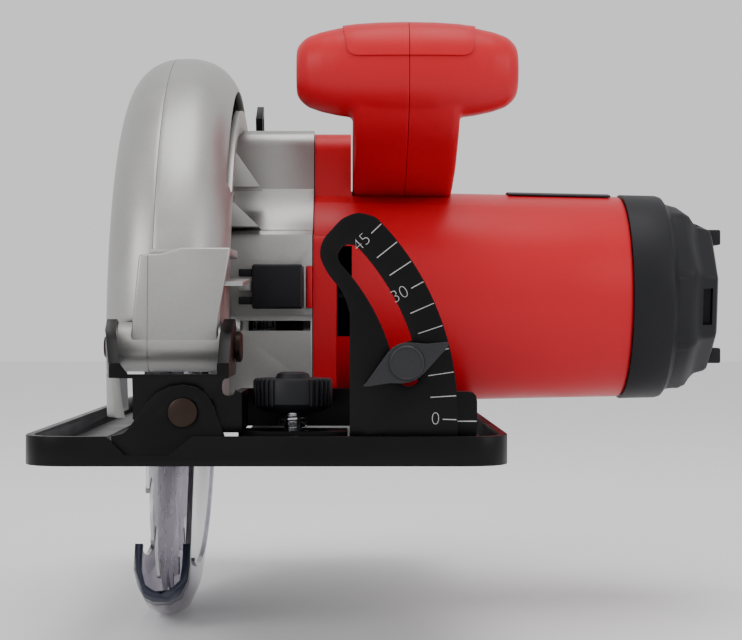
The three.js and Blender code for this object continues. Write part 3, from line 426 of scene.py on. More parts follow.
def rounded(corners, radius, steps=6):
    """An outline with every corner rounded by a curve of the given reach."""
    path = []
    count = len(corners)
    for i, corner in enumerate(corners):
        here = Vector(corner)
        before = Vector(corners[i - 1]) - here
        after = Vector(corners[(i + 1) % count]) - here
        reach = min(radius, before.length * 0.49, after.length * 0.49)
        start = here + before.normalized() * reach
        end = here + after.normalized() * reach
        for step in range(steps + 1):
            t = step / steps
            point = start * (1 - t) ** 2 + here * 2 * t * (1 - t) + end * t ** 2
            path.append((point.x, point.y))
    return path


def melt(mesh, voxel, passes):
    """Fuses overlapping shells into one moulded skin with soft inside corners."""
    one = with_modifier(mesh, "REMESH", mode="VOXEL", voxel_size=voxel, use_smooth_shade=True)
    return with_modifier(one, "SMOOTH", factor=0.5, iterations=passes)


def piece(name, mesh, body, slot, *nodes, material=None):
    """Makes a finished piece from a mesh, hangs it on its body and hides the frame nodes that it stands for.
    """
    thing = loose_object(name, mesh)
    mesh.materials.clear()
    mesh.materials.append(material or MATERIALS[slot])
    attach(thing, body)
    if nodes:
        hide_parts(*nodes)


def node_copy(node):
    """A merged copy of a frame node's mesh, with its flat faces whole."""
    bm = bmesh.new()
    bm.from_mesh(NODES[node].data)
    bmesh.ops.remove_doubles(bm, verts=bm.verts, dist=0.002 * MM)
    bmesh.ops.dissolve_limit(bm, angle_limit=math.radians(0.6), verts=bm.verts, edges=bm.edges)
    mesh = bpy.data.meshes.new(node)
    bm.to_mesh(mesh)
    bm.free()
    return mesh


def fuse_smooth(*meshes):
    """Several closed shells as one smoothly shaded mesh."""
    return smooth(fuse(*meshes), 30)


# ---- blade hood -------------------------------------------------------------------------------

HOOD_LOW, HOOD_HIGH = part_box("guard_cover")[0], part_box("upper_guard")[1]
HOOD_OUTER = HOOD_HIGH.z - SPINDLE.z
HOOD_EDGE = HOOD_LOW.z                        # lower edge of the hood
HOOD_LEFT = HOOD_LOW.x
HOOD_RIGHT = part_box("gear_housing")[0].x - GAP
HOOD_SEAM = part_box("guard_cover")[1].x + GAP / 2
CROWN_DEPTH = 22 * MM                         # how far the rounded crown reaches inwards
CROWN_POWER = 2.3                             # fullness of the crown's curve
HOOD_WALL = 2.2 * MM
RECESS = 3.4                                  # step in of the casting's side wall, in millimetres
BARREL_RADIUS = 8 * MM
LEVER_RING = 94 * MM                          # radius at which the guard lever's knob passes
LEVER_ROOM = 3.6 * MM                         # half the width of the slot that it passes through
SEAM_LOW, SEAM_HIGH = -39.1 * MM, -38.8 * MM  # the fine parting line down the apron, in X
SEAM_DEPTH = 0.35 * MM


def crown(inset, start, sweep, steps=26):
    """Points [x, radius] of the crown, by an angle measured from its right side towards its left."""
    half = (HOOD_RIGHT - HOOD_LEFT) / 2 - inset
    centre = (HOOD_LEFT + HOOD_RIGHT) / 2
    points = []
    for i in range(steps + 1):
        angle = start + sweep * i / steps
        across = math.copysign(abs(math.cos(angle)) ** (2 / CROWN_POWER), math.cos(angle))
        up = abs(math.sin(angle)) ** (2 / CROWN_POWER)
        points.append((centre + half * across, HOOD_OUTER - CROWN_DEPTH + (CROWN_DEPTH - inset) * up))
    return points


def hood_opening():
    """What the hood leaves open: all below its edge, and the corner of the depth hinge."""
    far = 0.16
    below = block((-far, -far, -far), (far, far, HOOD_EDGE))
    corner = block((-far, -far, -far), (far, SPINDLE.y - 101 * MM, HINGE.z))
    around = turned([(-0.1, 0), (-0.1, 9.6 * MM), (0.02, 9.6 * MM), (0.02, 0)], HINGE, 48)
    return below, corner, around


def hood_half(points_out, side_out, side_in, points_in):
    """One half of the hood: crown and side wall, turned about the blade's axis."""
    section = points_out + side_out + side_in + points_in
    mesh = turned(section, SPINDLE, 180)
    for tool in hood_opening():
        mesh = carve(mesh, tool)
    return mesh


def seam_angle(x, inset):
    """Angle on the crown at which it meets the plane x."""
    half = (HOOD_RIGHT - HOOD_LEFT) / 2 - inset
    across = (x - (HOOD_LEFT + HOOD_RIGHT) / 2) / half
    return math.acos(math.copysign(abs(across) ** (CROWN_POWER / 2), across))


def lean(mesh, foot_z, top_z, shift):
    """Leans a plate back by a shift in Y between two heights."""
    for vertex in mesh.vertices:
        vertex.co.y += shift * max(0, vertex.co.z - foot_z) / (top_z - foot_z)
    return mesh


def apron():
    """Cast panel in front of the hood that runs down into the hinge barrel."""
    face = HINGE.y - BARREL_RADIUS + 0.2 * MM
    low, high = HINGE.z, HINGE.z + 32 * MM
    top_curve = [(-41.9, 29.6), (-37.5, 29.9), (-34.5, 30.1), (-31.5, 31.1), (-28.5, 31.9), (-24, 32),
                 (-12.4, 31.9)]
    outline = [(-44.6 * MM, low)] + [(a * MM, low + b * MM) for a, b in top_curve]
    outline += [(-16.4 * MM, low + 9.4 * MM), (-16.2 * MM, low)]
    panel = prism(outline, 1, face, face + 3.2 * MM)
    panel = soften(panel, 0.8 * MM, 3)
    panel = carve(panel, block((SEAM_LOW, face - 1 * MM, 0), (SEAM_HIGH, face + SEAM_DEPTH, 0.1)))
    panel = lean(panel, low, high, 2.2 * MM)
    barrel = soften(turned([(-49.2 * MM, 3.9 * MM), (-49.2 * MM, BARREL_RADIUS), (-15.3 * MM, BARREL_RADIUS),
                            (-15.3 * MM, 3.9 * MM)], HINGE, 96), 0.7 * MM, 3)
    depth = BARREL_RADIUS - SEAM_DEPTH
    groove = turned([(SEAM_LOW, depth), (SEAM_LOW, 0.02), (SEAM_HIGH, 0.02), (SEAM_HIGH, depth)], HINGE, 96)
    barrel = carve(barrel, groove)
    roof = prism([(face + 4.6 * MM, high - 2.6 * MM), (face + 4.6 * MM, high - 0.4 * MM),
                  (-70 * MM, high + 0.6 * MM), (-70 * MM, high - 2.4 * MM)], 0, HOOD_SEAM + GAP, -12.8 * MM)
    cheek = prism([(face + 3 * MM, low + 3 * MM), (face + 4 * MM, high - 1 * MM), (-62 * MM, high),
                   (-66 * MM, low + 8 * MM), (-98 * MM, low - 8 * MM)], 0, -18.6 * MM, -16 * MM)
    rib = prism([(face + 3 * MM, low + 19.5 * MM), (face + 3 * MM, low + 21.1 * MM),
                 (-70 * MM, low + 22.9 * MM), (-70 * MM, low + 21.3 * MM)], 0, -17 * MM, -8.6 * MM)
    return [panel, barrel, soften(roof, 0.5 * MM), soften(cheek, 0.5 * MM), soften(rib, 0.4 * MM)]


def gussets():
    """Triangular webs between the hood's wall and the gear case."""
    webs = []
    for top, bottom, y in ((108.5, 93, -30), (88.5, 78, -38)):
        web = prism([(HOOD_RIGHT - 5.5 * MM, bottom * MM), (HOOD_RIGHT + 8 * MM, bottom * MM),
                     (HOOD_RIGHT - 3 * MM, top * MM), (HOOD_RIGHT - 5.5 * MM, top * MM)],
                    1, y * MM, (y + 22) * MM)
        webs.append(soften(web, 0.4 * MM))
    return webs


def lever_window(mesh):
    """The bent slot in the hood's wall through which the guard lever's knob passes."""
    start, sweep = math.radians(39), math.radians(105)
    outer = arc(SPINDLE.yz, LEVER_RING + LEVER_ROOM, 40, start, sweep)
    inner = arc(SPINDLE.yz, LEVER_RING - LEVER_ROOM, 40, start, sweep)
    return carve(mesh, prism(outer + inner[::-1], 0, -22 * MM, HOOD_RIGHT + 2 * MM))


def lock_boss():
    """Arm of the casting that reaches back to the depth lock bolt."""
    y, z = middle("depth_lock_bolt").yz
    outline = [*mm((84, 60), (108, 44)), (y + 6.5 * MM, z + 4 * MM), (y + 6.5 * MM, z - 6.5 * MM),
               (y - 12 * MM, z - 7 * MM), *mm((80, 24))]
    arm = prism(rounded(outline, 6 * MM), 0, -21 * MM, HOOD_RIGHT - 0.5 * MM)
    reach = HOOD_OUTER - 3 * MM
    inside = turned([(-60 * MM, 0), (-60 * MM, reach), (-18 * MM, reach), (-18 * MM, 0)], SPINDLE, 96)
    hole = turned(mm((-30, 0), (-30, 3.3), (0, 3.3), (0, 0)), Vector((0, y, z)), 32)
    return soften(carve(carve(arm, inside), hole), 0.6 * MM)


def make_hood():
    seam_out = seam_angle(HOOD_SEAM + GAP / 4, 0)
    seam_in = seam_angle(HOOD_SEAM + GAP / 4, HOOD_WALL)
    right_out = crown(0, seam_out, -seam_out)
    right_in = crown(HOOD_WALL, 0, seam_in)
    wall_out = [(0, 86), (0.8, 83.5), (RECESS, 80), (RECESS, 34), (0, 29), (0, 17)]
    wall_in = [(HOOD_WALL / MM, 17), (HOOD_WALL / MM, 27), (RECESS + 2.2, 32), (RECESS + 2.2, 82),
               (HOOD_WALL / MM, 87)]
    side_out = [(HOOD_RIGHT - depth * MM, radius * MM) for depth, radius in wall_out]
    side_in = [(HOOD_RIGHT - depth * MM, radius * MM) for depth, radius in wall_in]
    right = hood_half(right_out, side_out, side_in, right_in)
    right = soften(lever_window(right), 0.5 * MM, 2, 50)
    boss = turned(mm((-31, 13.4), (-31, 15.6), (-16, 15.6), (-16, 18), (-15.2, 18), (-15.2, 13.4)),
                  SPINDLE, 64)
    casting = smooth(fuse(right, boss, *apron(), *gussets(), lock_boss()))
    piece("upper_guard_casting", casting, "saw", "grey_casting", "upper_guard")

    cover_out = seam_angle(HOOD_SEAM - GAP / 4, 0)
    cover_in = seam_angle(HOOD_SEAM - GAP / 4, HOOD_WALL)
    left_out = crown(0, cover_out, math.pi - cover_out)
    left_in = crown(HOOD_WALL, math.pi, cover_in - math.pi)
    cover = hood_half(left_out, [(HOOD_LEFT, 52 * MM)], [(HOOD_LEFT + HOOD_WALL, 52 * MM)], left_in)
    piece("guard_cover_shell", smooth(soften(cover, 0.4 * MM, 2, 50)), "saw", "grey_casting", "guard_cover")


# ---- repeating things -------------------------------------------------------------------------

def begin_tree(name, inputs):
    """A Geometry Nodes tree with the given inputs; returns it and what its inputs give."""
    tree = bpy.data.node_groups.new(name, "GeometryNodeTree")
    for label, kind in inputs:
        tree.interface.new_socket(label, in_out="INPUT", socket_type="NodeSocket" + kind)
    tree.interface.new_socket("Shape", in_out="OUTPUT", socket_type="NodeSocketGeometry")
    return tree, tree.nodes.new("NodeGroupInput").outputs


def end_tree(tree, copies, finish):
    """Makes the copies real, gives them their finish and passes them on."""
    real = place_node(tree, "GeometryNodeRealizeInstances", Geometry=copies)
    done = place_node(tree, "GeometryNodeSetMaterial", Geometry=real.outputs[0], Material=finish)
    tree.links.new(done.outputs[0], tree.nodes.new("NodeGroupOutput").inputs["Shape"])
    return tree


def repeat_tree():
    """Copies of a shape, each one shifted and turned about an axis by the same step."""
    tree, given = begin_tree("repeat", [
        ("Shape", "Geometry"), ("Count", "Int"), ("Start", "Float"), ("Step", "Float"), ("Axis", "Vector"),
        ("Centre", "Vector"), ("Shift", "Vector"), ("Finish", "Material"),
    ])
    index = place_node(tree, "GeometryNodeInputIndex").outputs["Index"]
    along = place_node(tree, "ShaderNodeVectorMath", {"operation": "SCALE"}, Vector=given["Shift"],
                       Scale=index)
    turn = place_node(tree, "ShaderNodeMath", {"operation": "MULTIPLY_ADD"})
    for socket, source in zip(turn.inputs, (index, given["Step"], given["Start"])):
        tree.links.new(source, socket)
    points = place_node(tree, "GeometryNodePoints", Count=given["Count"], Position=along.outputs["Vector"])
    copies = place_node(tree, "GeometryNodeInstanceOnPoints", Points=points.outputs[0],
                        Instance=given["Shape"])
    spin = place_node(tree, "FunctionNodeAxisAngleToRotation", Axis=given["Axis"], Angle=turn.outputs[0])
    placed = place_node(tree, "GeometryNodeRotateInstances", Instances=copies.outputs[0],
                        Rotation=spin.outputs[0], Pivot_Point=given["Centre"], Local_Space=False)
    return end_tree(tree, placed.outputs[0], given["Finish"])


def set_out_tree():
    """The same fastener at every vertex of a mesh."""
    tree, given = begin_tree("set_out", [("Places", "Geometry"), ("Fastener", "Object"),
                                         ("Finish", "Material")])
    screw = place_node(tree, "GeometryNodeObjectInfo", Object=given["Fastener"])
    copies = place_node(tree, "GeometryNodeInstanceOnPoints", Points=given["Places"],
                        Instance=screw.outputs["Geometry"])
    return end_tree(tree, copies.outputs[0], given["Finish"])


REPEAT = repeat_tree()
SET_OUT = set_out_tree()


def grown_by(tree, mesh, values):
    """What a Geometry Nodes tree makes of a mesh, as a plain mesh."""
    thing = loose_object("growing", mesh)
    modifier = thing.modifiers.new("tree", "NODES")
    modifier.node_group = tree
    for item in tree.interface.items_tree:
        if item.in_out == "INPUT" and item.name in values:
            modifier[item.identifier] = values[item.name]
    return settle(thing)


def repeated(mesh, finish, count, step=0.0, start=0.0, axis=(1.0, 0.0, 0.0), centre=(0.0, 0.0, 0.0),
             shift=(0.0, 0.0, 0.0)):
    """A plain mesh of repeated copies; angles in degrees."""
    return grown_by(REPEAT, mesh, {
        "Count": count, "Step": math.radians(step), "Start": math.radians(start), "Axis": tuple(axis),
        "Centre": tuple(centre), "Shift": tuple(shift), "Finish": finish,
    })


def set_out(places, fastener, finish):
    """A plain mesh of one fastener at each place."""
    spots = bpy.data.meshes.new("places")
    spots.from_pydata([tuple(place) for place in places], [], [])
    sample = loose_object("fastener", fastener)
    mesh = grown_by(SET_OUT, spots, {"Fastener": sample, "Finish": finish})
    bpy.data.objects.remove(sample)
    return mesh


def turned_about(profile, centre, axis, segments=64):
    """A body of revolution round Y or Z; the profile runs along that axis from the centre."""
    mesh = turned(profile, Vector((0, 0, 0)), segments)
    turn = Matrix.Rotation(math.pi / 2, 4, "Z") if axis == "Y" else Matrix.Rotation(-math.pi / 2, 4, "Y")
    mesh.transform(Matrix.Translation(centre) @ turn)
    return mesh


def flipped(mesh, y):
    """The mesh turned end for end in Y about a plane, its faces outwards again."""
    mesh.transform(Matrix.Translation((0, 2 * y, 0)) @ Matrix.Scale(-1, 4, (0, 1, 0)))
    bm = bmesh.new()
    bm.from_mesh(mesh)
    return from_bmesh(bm)


def pan_screw(radius, height):
    """A pan-head screw with a cross recess; its head faces +X."""
    head = turned([(-height, 0), (-height, radius), (height * 0.35, radius), (height * 0.8, radius * 0.82),
                   (height, radius * 0.5), (height, 0)], Vector((0, 0, 0)), 32)
    deep, reach, half = height * 0.2, radius * 0.62, radius * 0.14
    for a, b in ((reach, half), (half, reach)):
        head = carve(head, block((deep, -a, -b), (height * 2, a, b)))
    return smooth(head, 30)


# ---- motor housing, name plate and rear cap -----------------------------------------------------

HOUSING_LOW, HOUSING_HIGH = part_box("motor_housing")
CAP_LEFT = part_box("rear_cap")[0].x
HOUSING_RADIUS = 42 * MM
HOUSING_END_RADIUS = 39.5 * MM
HOUSING_WALL = 3.2 * MM
GEAR_SLOT = mm((-14.5, -90, 40.2), (11.4, -20, 43.9))
PLATEAU = [(8, 88), (10, 112), (14, 116), (28, 116), (46, 104), (60, 80)]
PANEL = [(-28, 18), (-28, 75), (-10, 76), (10, 60), (10, 18)]


def grown(outline, grow, radius):
    """An outline given in millimetres, pushed out from its middle and rounded."""
    count = len(outline)
    centre = sum((Vector(point) for point in outline), Vector((0, 0))) / count
    points = [centre + (Vector(point) - centre) * (1 + grow / (Vector(point) - centre).length)
              for point in outline]
    return rounded([tuple(point * MM) for point in points], radius * MM)


def motor_seat():
    """What a handle leaves free for the motor housing that it is moulded to sit on."""
    return turned([(0, 0), (0, HOUSING_RADIUS + 0.1 * MM), (0.1, HOUSING_RADIUS - 1.6 * MM), (0.1, 0)],
                  MOTOR, 160)


def make_gear_housing():
    """The gear case, drawn out on its left to meet the hood's recessed wall."""
    mesh = node_copy("gear_housing")
    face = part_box("gear_housing")[0].x + 0.05 * MM
    for vertex in mesh.vertices:
        if vertex.co.x < face:
            vertex.co.x -= (RECESS + 0.2) * MM
    mesh = carve(soften(mesh, 0.8 * MM), block(*GEAR_SLOT))
    piece("gear_housing_casting", smooth(mesh), "saw", "grey_casting", "gear_housing")


def make_motor_housing():
    left, right = HOUSING_LOW.x, HOUSING_HIGH.x
    body = turned([(left, 0), (left, HOUSING_RADIUS), (right - 1 * MM, HOUSING_END_RADIUS),
                   (right, HOUSING_END_RADIUS - 0.5 * MM), (right, 0)], MOTOR, 160)
    heel = turned([(left, 0), (left, 24 * MM), (left + 8.5 * MM, 24 * MM), (left + 8.5 * MM, 0)],
                  SPINDLE, 96)
    collar = prism(grown(PLATEAU, 1.4, 5), 0, left, left + 14.1 * MM)
    cheek = prism(grown(PANEL, 0.6, 4), 0, left, left + 8.5 * MM)
    for part in (heel, collar, cheek):
        body = carve(body, part, "UNION")
    bore = turned([(left - 1 * MM, 0), (left - 1 * MM, HOUSING_RADIUS - HOUSING_WALL),
                   (right + 1 * MM, HOUSING_END_RADIUS - HOUSING_WALL), (right + 1 * MM, 0)], MOTOR, 96)
    slot = block((left + 8.7 * MM, -30 * MM, 38 * MM), (left + 14.3 * MM, 2 * MM, 72 * MM))
    inner_collar = prism(grown(PLATEAU, -2.2, 4), 0, left - 1 * MM, left + 11 * MM)
    inner_cheek = prism(grown(PANEL, -2.5, 4), 0, left - 1 * MM, left + 5.5 * MM)
    for tool in (bore, slot, inner_collar, inner_cheek):
        body = carve(body, tool)
    flange = soften(block((left - 2.3 * MM, -34.5 * MM, 48.4 * MM), (left - 0.2 * MM, -29.4 * MM, 64 * MM)),
                    0.5 * MM)
    shell = smooth(soften(body, 0.5 * MM, 2, 40), 30)
    piece("motor_housing_shell", fuse_smooth(shell, flange), "saw", "red_plastic", "motor_housing")


def cap_ring(bm, x, radius, roundness, turn, count=160):
    """One ring of the cap's end: an eight-sided outline whose corners are rounded off."""
    ring = []
    sides = 8
    for i in range(count):
        angle = 2 * math.pi * i / count
        local = (angle - turn + math.pi / sides) % (2 * math.pi / sides) - math.pi / sides
        flat = radius / math.cos(local)
        reach = flat * (1 - roundness) + radius * 1.03 * roundness
        ring.append(bm.verts.new((x, MOTOR.y + reach * math.cos(angle), MOTOR.z + reach * math.sin(angle))))
    return ring


def cap_shell(inset):
    """Outside of the cap, or its inside when inset: a round collar that runs into eight flats."""
    profile = [(0.0, 39.1, 1), (13.5, 38.8, 1), (15.2, 38.3, 1), (16.3, 36.8, 1), (17.4, 35.7, 0.9),
               (21.8, 35.0, 0.45), (24.6, 33.3, 0.15), (26.4, 30.6, 0.0), (28.4, 28.8, 0.0),
               (32.2, 27.8, 0.0), (33.4, 27.0, 0.0), (34.2, 25.2, 0.1)]
    bm = bmesh.new()
    rings = []
    for x, radius, roundness in profile:
        rings.append(cap_ring(bm, CAP_LEFT + x * MM - inset * 0.8, radius * MM - inset, roundness,
                              math.radians(8.5)))
    return capped(bm, rings)


def make_rear_cap():
    shell = carve(cap_shell(0), cap_shell(6 * MM))
    middle_x = CAP_LEFT + 29.8 * MM
    window = block((middle_x - 1.9 * MM, MOTOR.y - 40 * MM, MOTOR.z - 7 * MM),
                   (middle_x + 1.9 * MM, MOTOR.y - 24 * MM, MOTOR.z + 7 * MM))
    centre = (CAP_LEFT, MOTOR.y, MOTOR.z)
    shell = carve(shell, repeated(window, MATERIALS["black_plastic"], 4, 90, 8.5, (1, 0, 0), centre))
    slit = block((CAP_LEFT + 32 * MM, MOTOR.y - 11 * MM, MOTOR.z - 14.8 * MM),
                 (CAP_LEFT + 36 * MM, MOTOR.y + 11 * MM, MOTOR.z - 13.2 * MM))
    shell = carve(shell, repeated(slit, MATERIALS["black_plastic"], 8, shift=(0, 0, 4 * MM)))
    lug = block((CAP_LEFT + 31 * MM, MOTOR.y - 8 * MM, MOTOR.z + 20.2 * MM),
                (CAP_LEFT + 39 * MM, MOTOR.y + 8 * MM, MOTOR.z + 26.2 * MM))
    lugs = repeated(soften(lug, 0.7 * MM, 3), MATERIALS["black_plastic"], 2, 180, 0, (1, 0, 0), centre)
    shell = smooth(soften(shell, 0.35 * MM, 2, 40), 28)
    piece("rear_cap_shell", fuse_smooth(shell, lugs), "saw", "black_plastic", "rear_cap")


# ---- front T-handle -----------------------------------------------------------------------------

BAR_LOW, BAR_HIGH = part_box("t_handle_left")[0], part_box("t_handle_right")[1]
BAR = Vector(((BAR_LOW.x + BAR_HIGH.x) / 2, -36 * MM, 134.2 * MM))
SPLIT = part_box("t_handle_left")[1].x + GAP / 2
BAR_PROFILE = [(0, 7.4), (0.5, 8.9), (1.3, 10.1), (2.8, 11.6), (4.4, 12.7), (9, 14.3), (15.4, 15.7),
               (22, 16.5), (30, 17.0), (40.05, 17.2)]
BAR_FULLNESS = 0.88                  # below 1 the grip's section is squarer than a circle


def bar(grow):
    """The grip: full in the middle, drawn in to blunt ends."""
    half = [(x, radius + grow) for x, radius in BAR_PROFILE]
    length = (BAR_HIGH.x - BAR_LOW.x) / MM
    stations = half + [(length - x, radius) for x, radius in reversed(half[:-1])]
    bm = bmesh.new()
    rings = []
    for x, radius in stations:
        ring = []
        for i in range(96):
            angle = 2 * math.pi * i / 96
            across = math.copysign(abs(math.cos(angle)) ** BAR_FULLNESS, math.cos(angle))
            up = math.copysign(abs(math.sin(angle)) ** BAR_FULLNESS, math.sin(angle))
            ring.append(bm.verts.new((BAR_LOW.x + x * MM, BAR.y + radius * across * MM,
                                      BAR.z + radius * up * MM)))
        rings.append(ring)
    return capped(bm, rings)


def t_handle_body():
    """Grip and post moulded together, hollowed where it sits on the motor housing."""
    foot = mm((10, 92), (-16, 99), (-40, 112), (-50, 124), (-50, 138), (-22, 138), (-12, 122), (20, 113),
              (33, 90))
    post = prism(rounded(foot, 7 * MM), 0, 26.9 * MM, 65.6 * MM)
    post = soften(post, 3.2 * MM, 4, 60)
    moulded = melt(fuse(bar(0), post), 0.85 * MM, 5)
    return carve(moulded, motor_seat())


def soft_pad():
    """Raised pad over the top of the grip."""
    outline = mm((25.3, 138), (69.3, 138), (72.4, 160), (21.6, 160))
    panel = prism(rounded(outline, 3.5 * MM), 1, -60 * MM, -10 * MM)
    pad = carve(bar(0.75), panel, "INTERSECT")
    return soften(pad, 0.5 * MM, 3, 50)


def make_t_handle():
    for side, name in ((-1, "t_handle_left"), (1, "t_handle_right")):
        edge = SPLIT + side * GAP / 3
        low, high = (-0.1, edge) if side < 0 else (edge, 0.2)
        keep = block((low, -0.1, 0), (high, 0.1, 0.2))
        half = soften(carve(t_handle_body(), keep, "INTERSECT"), 0.45 * MM, 2, 60)
        pad = carve(soft_pad(), keep, "INTERSECT")
        piece(name + "_grip", fuse_smooth(half, pad), "saw", "red_plastic", name)
    screw = pan_screw(2.6 * MM, 1.3 * MM)
    places = mm((64.5, -8, 106), (64.5, -34, 116.5))
    piece("t_handle_screws", set_out(places, screw, MATERIALS["dark_steel"]), "saw", "dark_steel")


# ---- main handle at the rear ----------------------------------------------------------------------

GRIP_LOW, GRIP_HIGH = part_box("main_handle_left")[0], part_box("main_handle_right")[1]
GRIP_ROUND = 7.5                     # radius of the handle's long edges, in millimetres


def grip_outside(inset):
    """Outside line of the handle in millimetres, drawn in by the inset."""
    return [(36, 84 + inset), (30 + inset, 106), (46, 128 - inset), (80, 140 - inset), (120, 137 - inset),
            (150 - inset, 113), (154.3 - inset, 74), (146 - inset, 38), (122, 19 + inset),
            (90, 16.5 + inset), (58, 19 + inset), (56, 44)]


def grip_inside(grow):
    """Line of the finger loop in millimetres, opened out by the growth."""
    return [(72 - grow, 60), (75 - grow, 97), (88, 107 + grow), (112, 106 + grow), (126 + grow, 88),
            (126 + grow, 62), (112, 46 - grow), (84, 44 - grow)]


def grip_stack(outline, low, high, radius):
    """An outline carried across the handle, changing near both faces so that the edges are round."""
    levels = []
    for i in range(7):
        angle = math.pi / 2 * i / 6
        levels.append((GRIP_ROUND * (1 - math.sin(angle)), GRIP_ROUND * (1 - math.cos(angle))))
    levels = sorted({(round(inset, 4), round(depth, 4)) for inset, depth in levels}, key=lambda row: row[1])
    stations = [(low + depth * MM, inset) for inset, depth in levels]
    stations += [(high - depth * MM, inset) for inset, depth in reversed(levels)]
    bm = bmesh.new()
    rings = []
    for x, inset in stations:
        path = rounded(mm(*outline(inset)), radius * MM, 5)
        rings.append([bm.verts.new((x, y, z)) for y, z in path])
    return capped(bm, rings)


def make_main_handle():
    low, high = GRIP_LOW.x, GRIP_HIGH.x
    outer = grip_stack(grip_outside, low, high, 16)
    loop = grip_stack(grip_inside, low - 0.02 * MM, high + 0.02 * MM, 12)
    body = carve(outer, loop)
    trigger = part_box("trigger")
    gland = middle("cord_gland")
    gland.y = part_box("cord_gland")[0].y
    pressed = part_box("lock_off_button")[0].x - 3.5 * MM
    tools = [
        motor_seat(),
        block((trigger[0].x - GAP, trigger[0].y - GAP, trigger[0].z - 2 * MM),
              (trigger[1].x + GAP, trigger[1].y + GAP, trigger[1].z + 6 * MM)),
        turned([(pressed, 0), (pressed, 5.3 * MM), (0.1, 5.3 * MM), (0.1, 0)],
               middle("lock_off_button"), 48),
        turned_about(mm((-9, 0), (-9, 7.3), (30, 7.3), (30, 0)), gland, "Y", 48),
    ]
    for tool in tools:
        body = carve(body, tool)
    for side, name in ((-1, "main_handle_left"), (1, "main_handle_right")):
        edge = SPLIT + side * GAP / 3
        start, end = (-0.1, edge) if side < 0 else (edge, 0.2)
        half = carve(body.copy(), block((start, 0, 0), (end, 0.2, 0.2)), "INTERSECT")
        piece(name + "_grip", smooth(soften(half, 0.4 * MM, 2, 60), 34), "saw", "red_plastic", name)
    screw = pan_screw(2.6 * MM, 1.3 * MM)
    spots = mm((64, 120), (104, 122), (139, 94), (134, 44), (96, 30), (60, 30))
    places = [(high - 0.2 * MM, y, z) for y, z in spots]
    piece("handle_screws", set_out(places, screw, MATERIALS["dark_steel"]), "saw", "dark_steel")


# ---- lower guard ----------------------------------------------------------------------------------

GUARD_LOW, GUARD_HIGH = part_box("lower_guard")
GUARD_RADIUS = SPINDLE.z - GUARD_LOW.z
GUARD_RIGHT = -32.5 * MM
GUARD_WALL = 2 * MM
MOUTH = math.radians(-116)
TAIL = math.radians(12)


def guard_section(inset):
    """Section of the guard's trough, [x, radius], from its left lip round to its right side."""
    left, right, low = GUARD_LOW.x + inset, GUARD_RIGHT - inset, GUARD_RADIUS - inset
    points = [(left, 80 * MM), (left, GUARD_RADIUS - 12 * MM)]
    points += [(left + 1.6 * MM, GUARD_RADIUS - 6.4 * MM), (left + 4.2 * MM, low - 1.7 * MM),
               (left + 7.6 * MM, low), (right - 7.2 * MM, low), (right - 3.2 * MM, low - 2.4 * MM),
               (right - 0.6 * MM, GUARD_RADIUS - 8 * MM), (right, GUARD_RADIUS - 14 * MM), (right, 80 * MM)]
    return points


def guard_arc(section, start, end, steps):
    """Sweeps a closed section about the blade's axis between two angles."""
    bm = bmesh.new()
    rings = []
    for i in range(steps + 1):
        angle = start + (end - start) * i / steps
        rings.append([bm.verts.new((x, SPINDLE.y + r * math.cos(angle), SPINDLE.z + r * math.sin(angle)))
                      for x, r in section])
    return capped(bm, rings)


def make_lower_guard():
    trough = guard_section(0) + guard_section(GUARD_WALL)[::-1]
    rim = guard_arc(trough, MOUTH + math.radians(1.6), TAIL, 72)
    plate = guard_arc([(GUARD_RIGHT - GUARD_WALL, 24 * MM), (GUARD_RIGHT - GUARD_WALL, 80.4 * MM),
                       (GUARD_RIGHT, 80.4 * MM), (GUARD_RIGHT, 24 * MM)], MOUTH, TAIL, 72)
    collar = turned([(GUARD_RIGHT - GUARD_WALL, 15.9 * MM), (GUARD_RIGHT - GUARD_WALL, 26 * MM),
                     (GUARD_RIGHT, 26 * MM), (GUARD_RIGHT, 20 * MM), (GUARD_HIGH.x, 20 * MM),
                     (GUARD_HIGH.x, 15.9 * MM)], SPINDLE, 72)
    rib = guard_arc([(GUARD_RIGHT - 0.2 * MM, 83 * MM), (GUARD_RIGHT - 0.2 * MM, 84.4 * MM),
                     (GUARD_RIGHT + 0.9 * MM, 84.4 * MM), (GUARD_RIGHT + 0.9 * MM, 83 * MM)],
                    MOUTH + math.radians(6), TAIL, 72)
    shell = fuse(soften(carve(rim, plate, "UNION"), 0.4 * MM, 2, 50), collar, rib)
    piece("lower_guard_shell", smooth(shell), "lower_guard", "clear_plastic", "lower_guard")
    thick = guard_section(0) + guard_section(GUARD_WALL + 0.9 * MM)[::-1]
    lip = guard_arc(thick, MOUTH, MOUTH + math.radians(1.5), 2)
    piece("lower_guard_lip", smooth(soften(lip, 0.35 * MM, 2, 50)), "lower_guard", "clear_plastic",
          material=GUARD_LIP)


# ---- blade ----------------------------------------------------------------------------------------

BLADE_LOW, BLADE_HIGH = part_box("blade")
BLADE_RADIUS = (BLADE_HIGH.y - BLADE_LOW.y) / 2
TEETH = 24


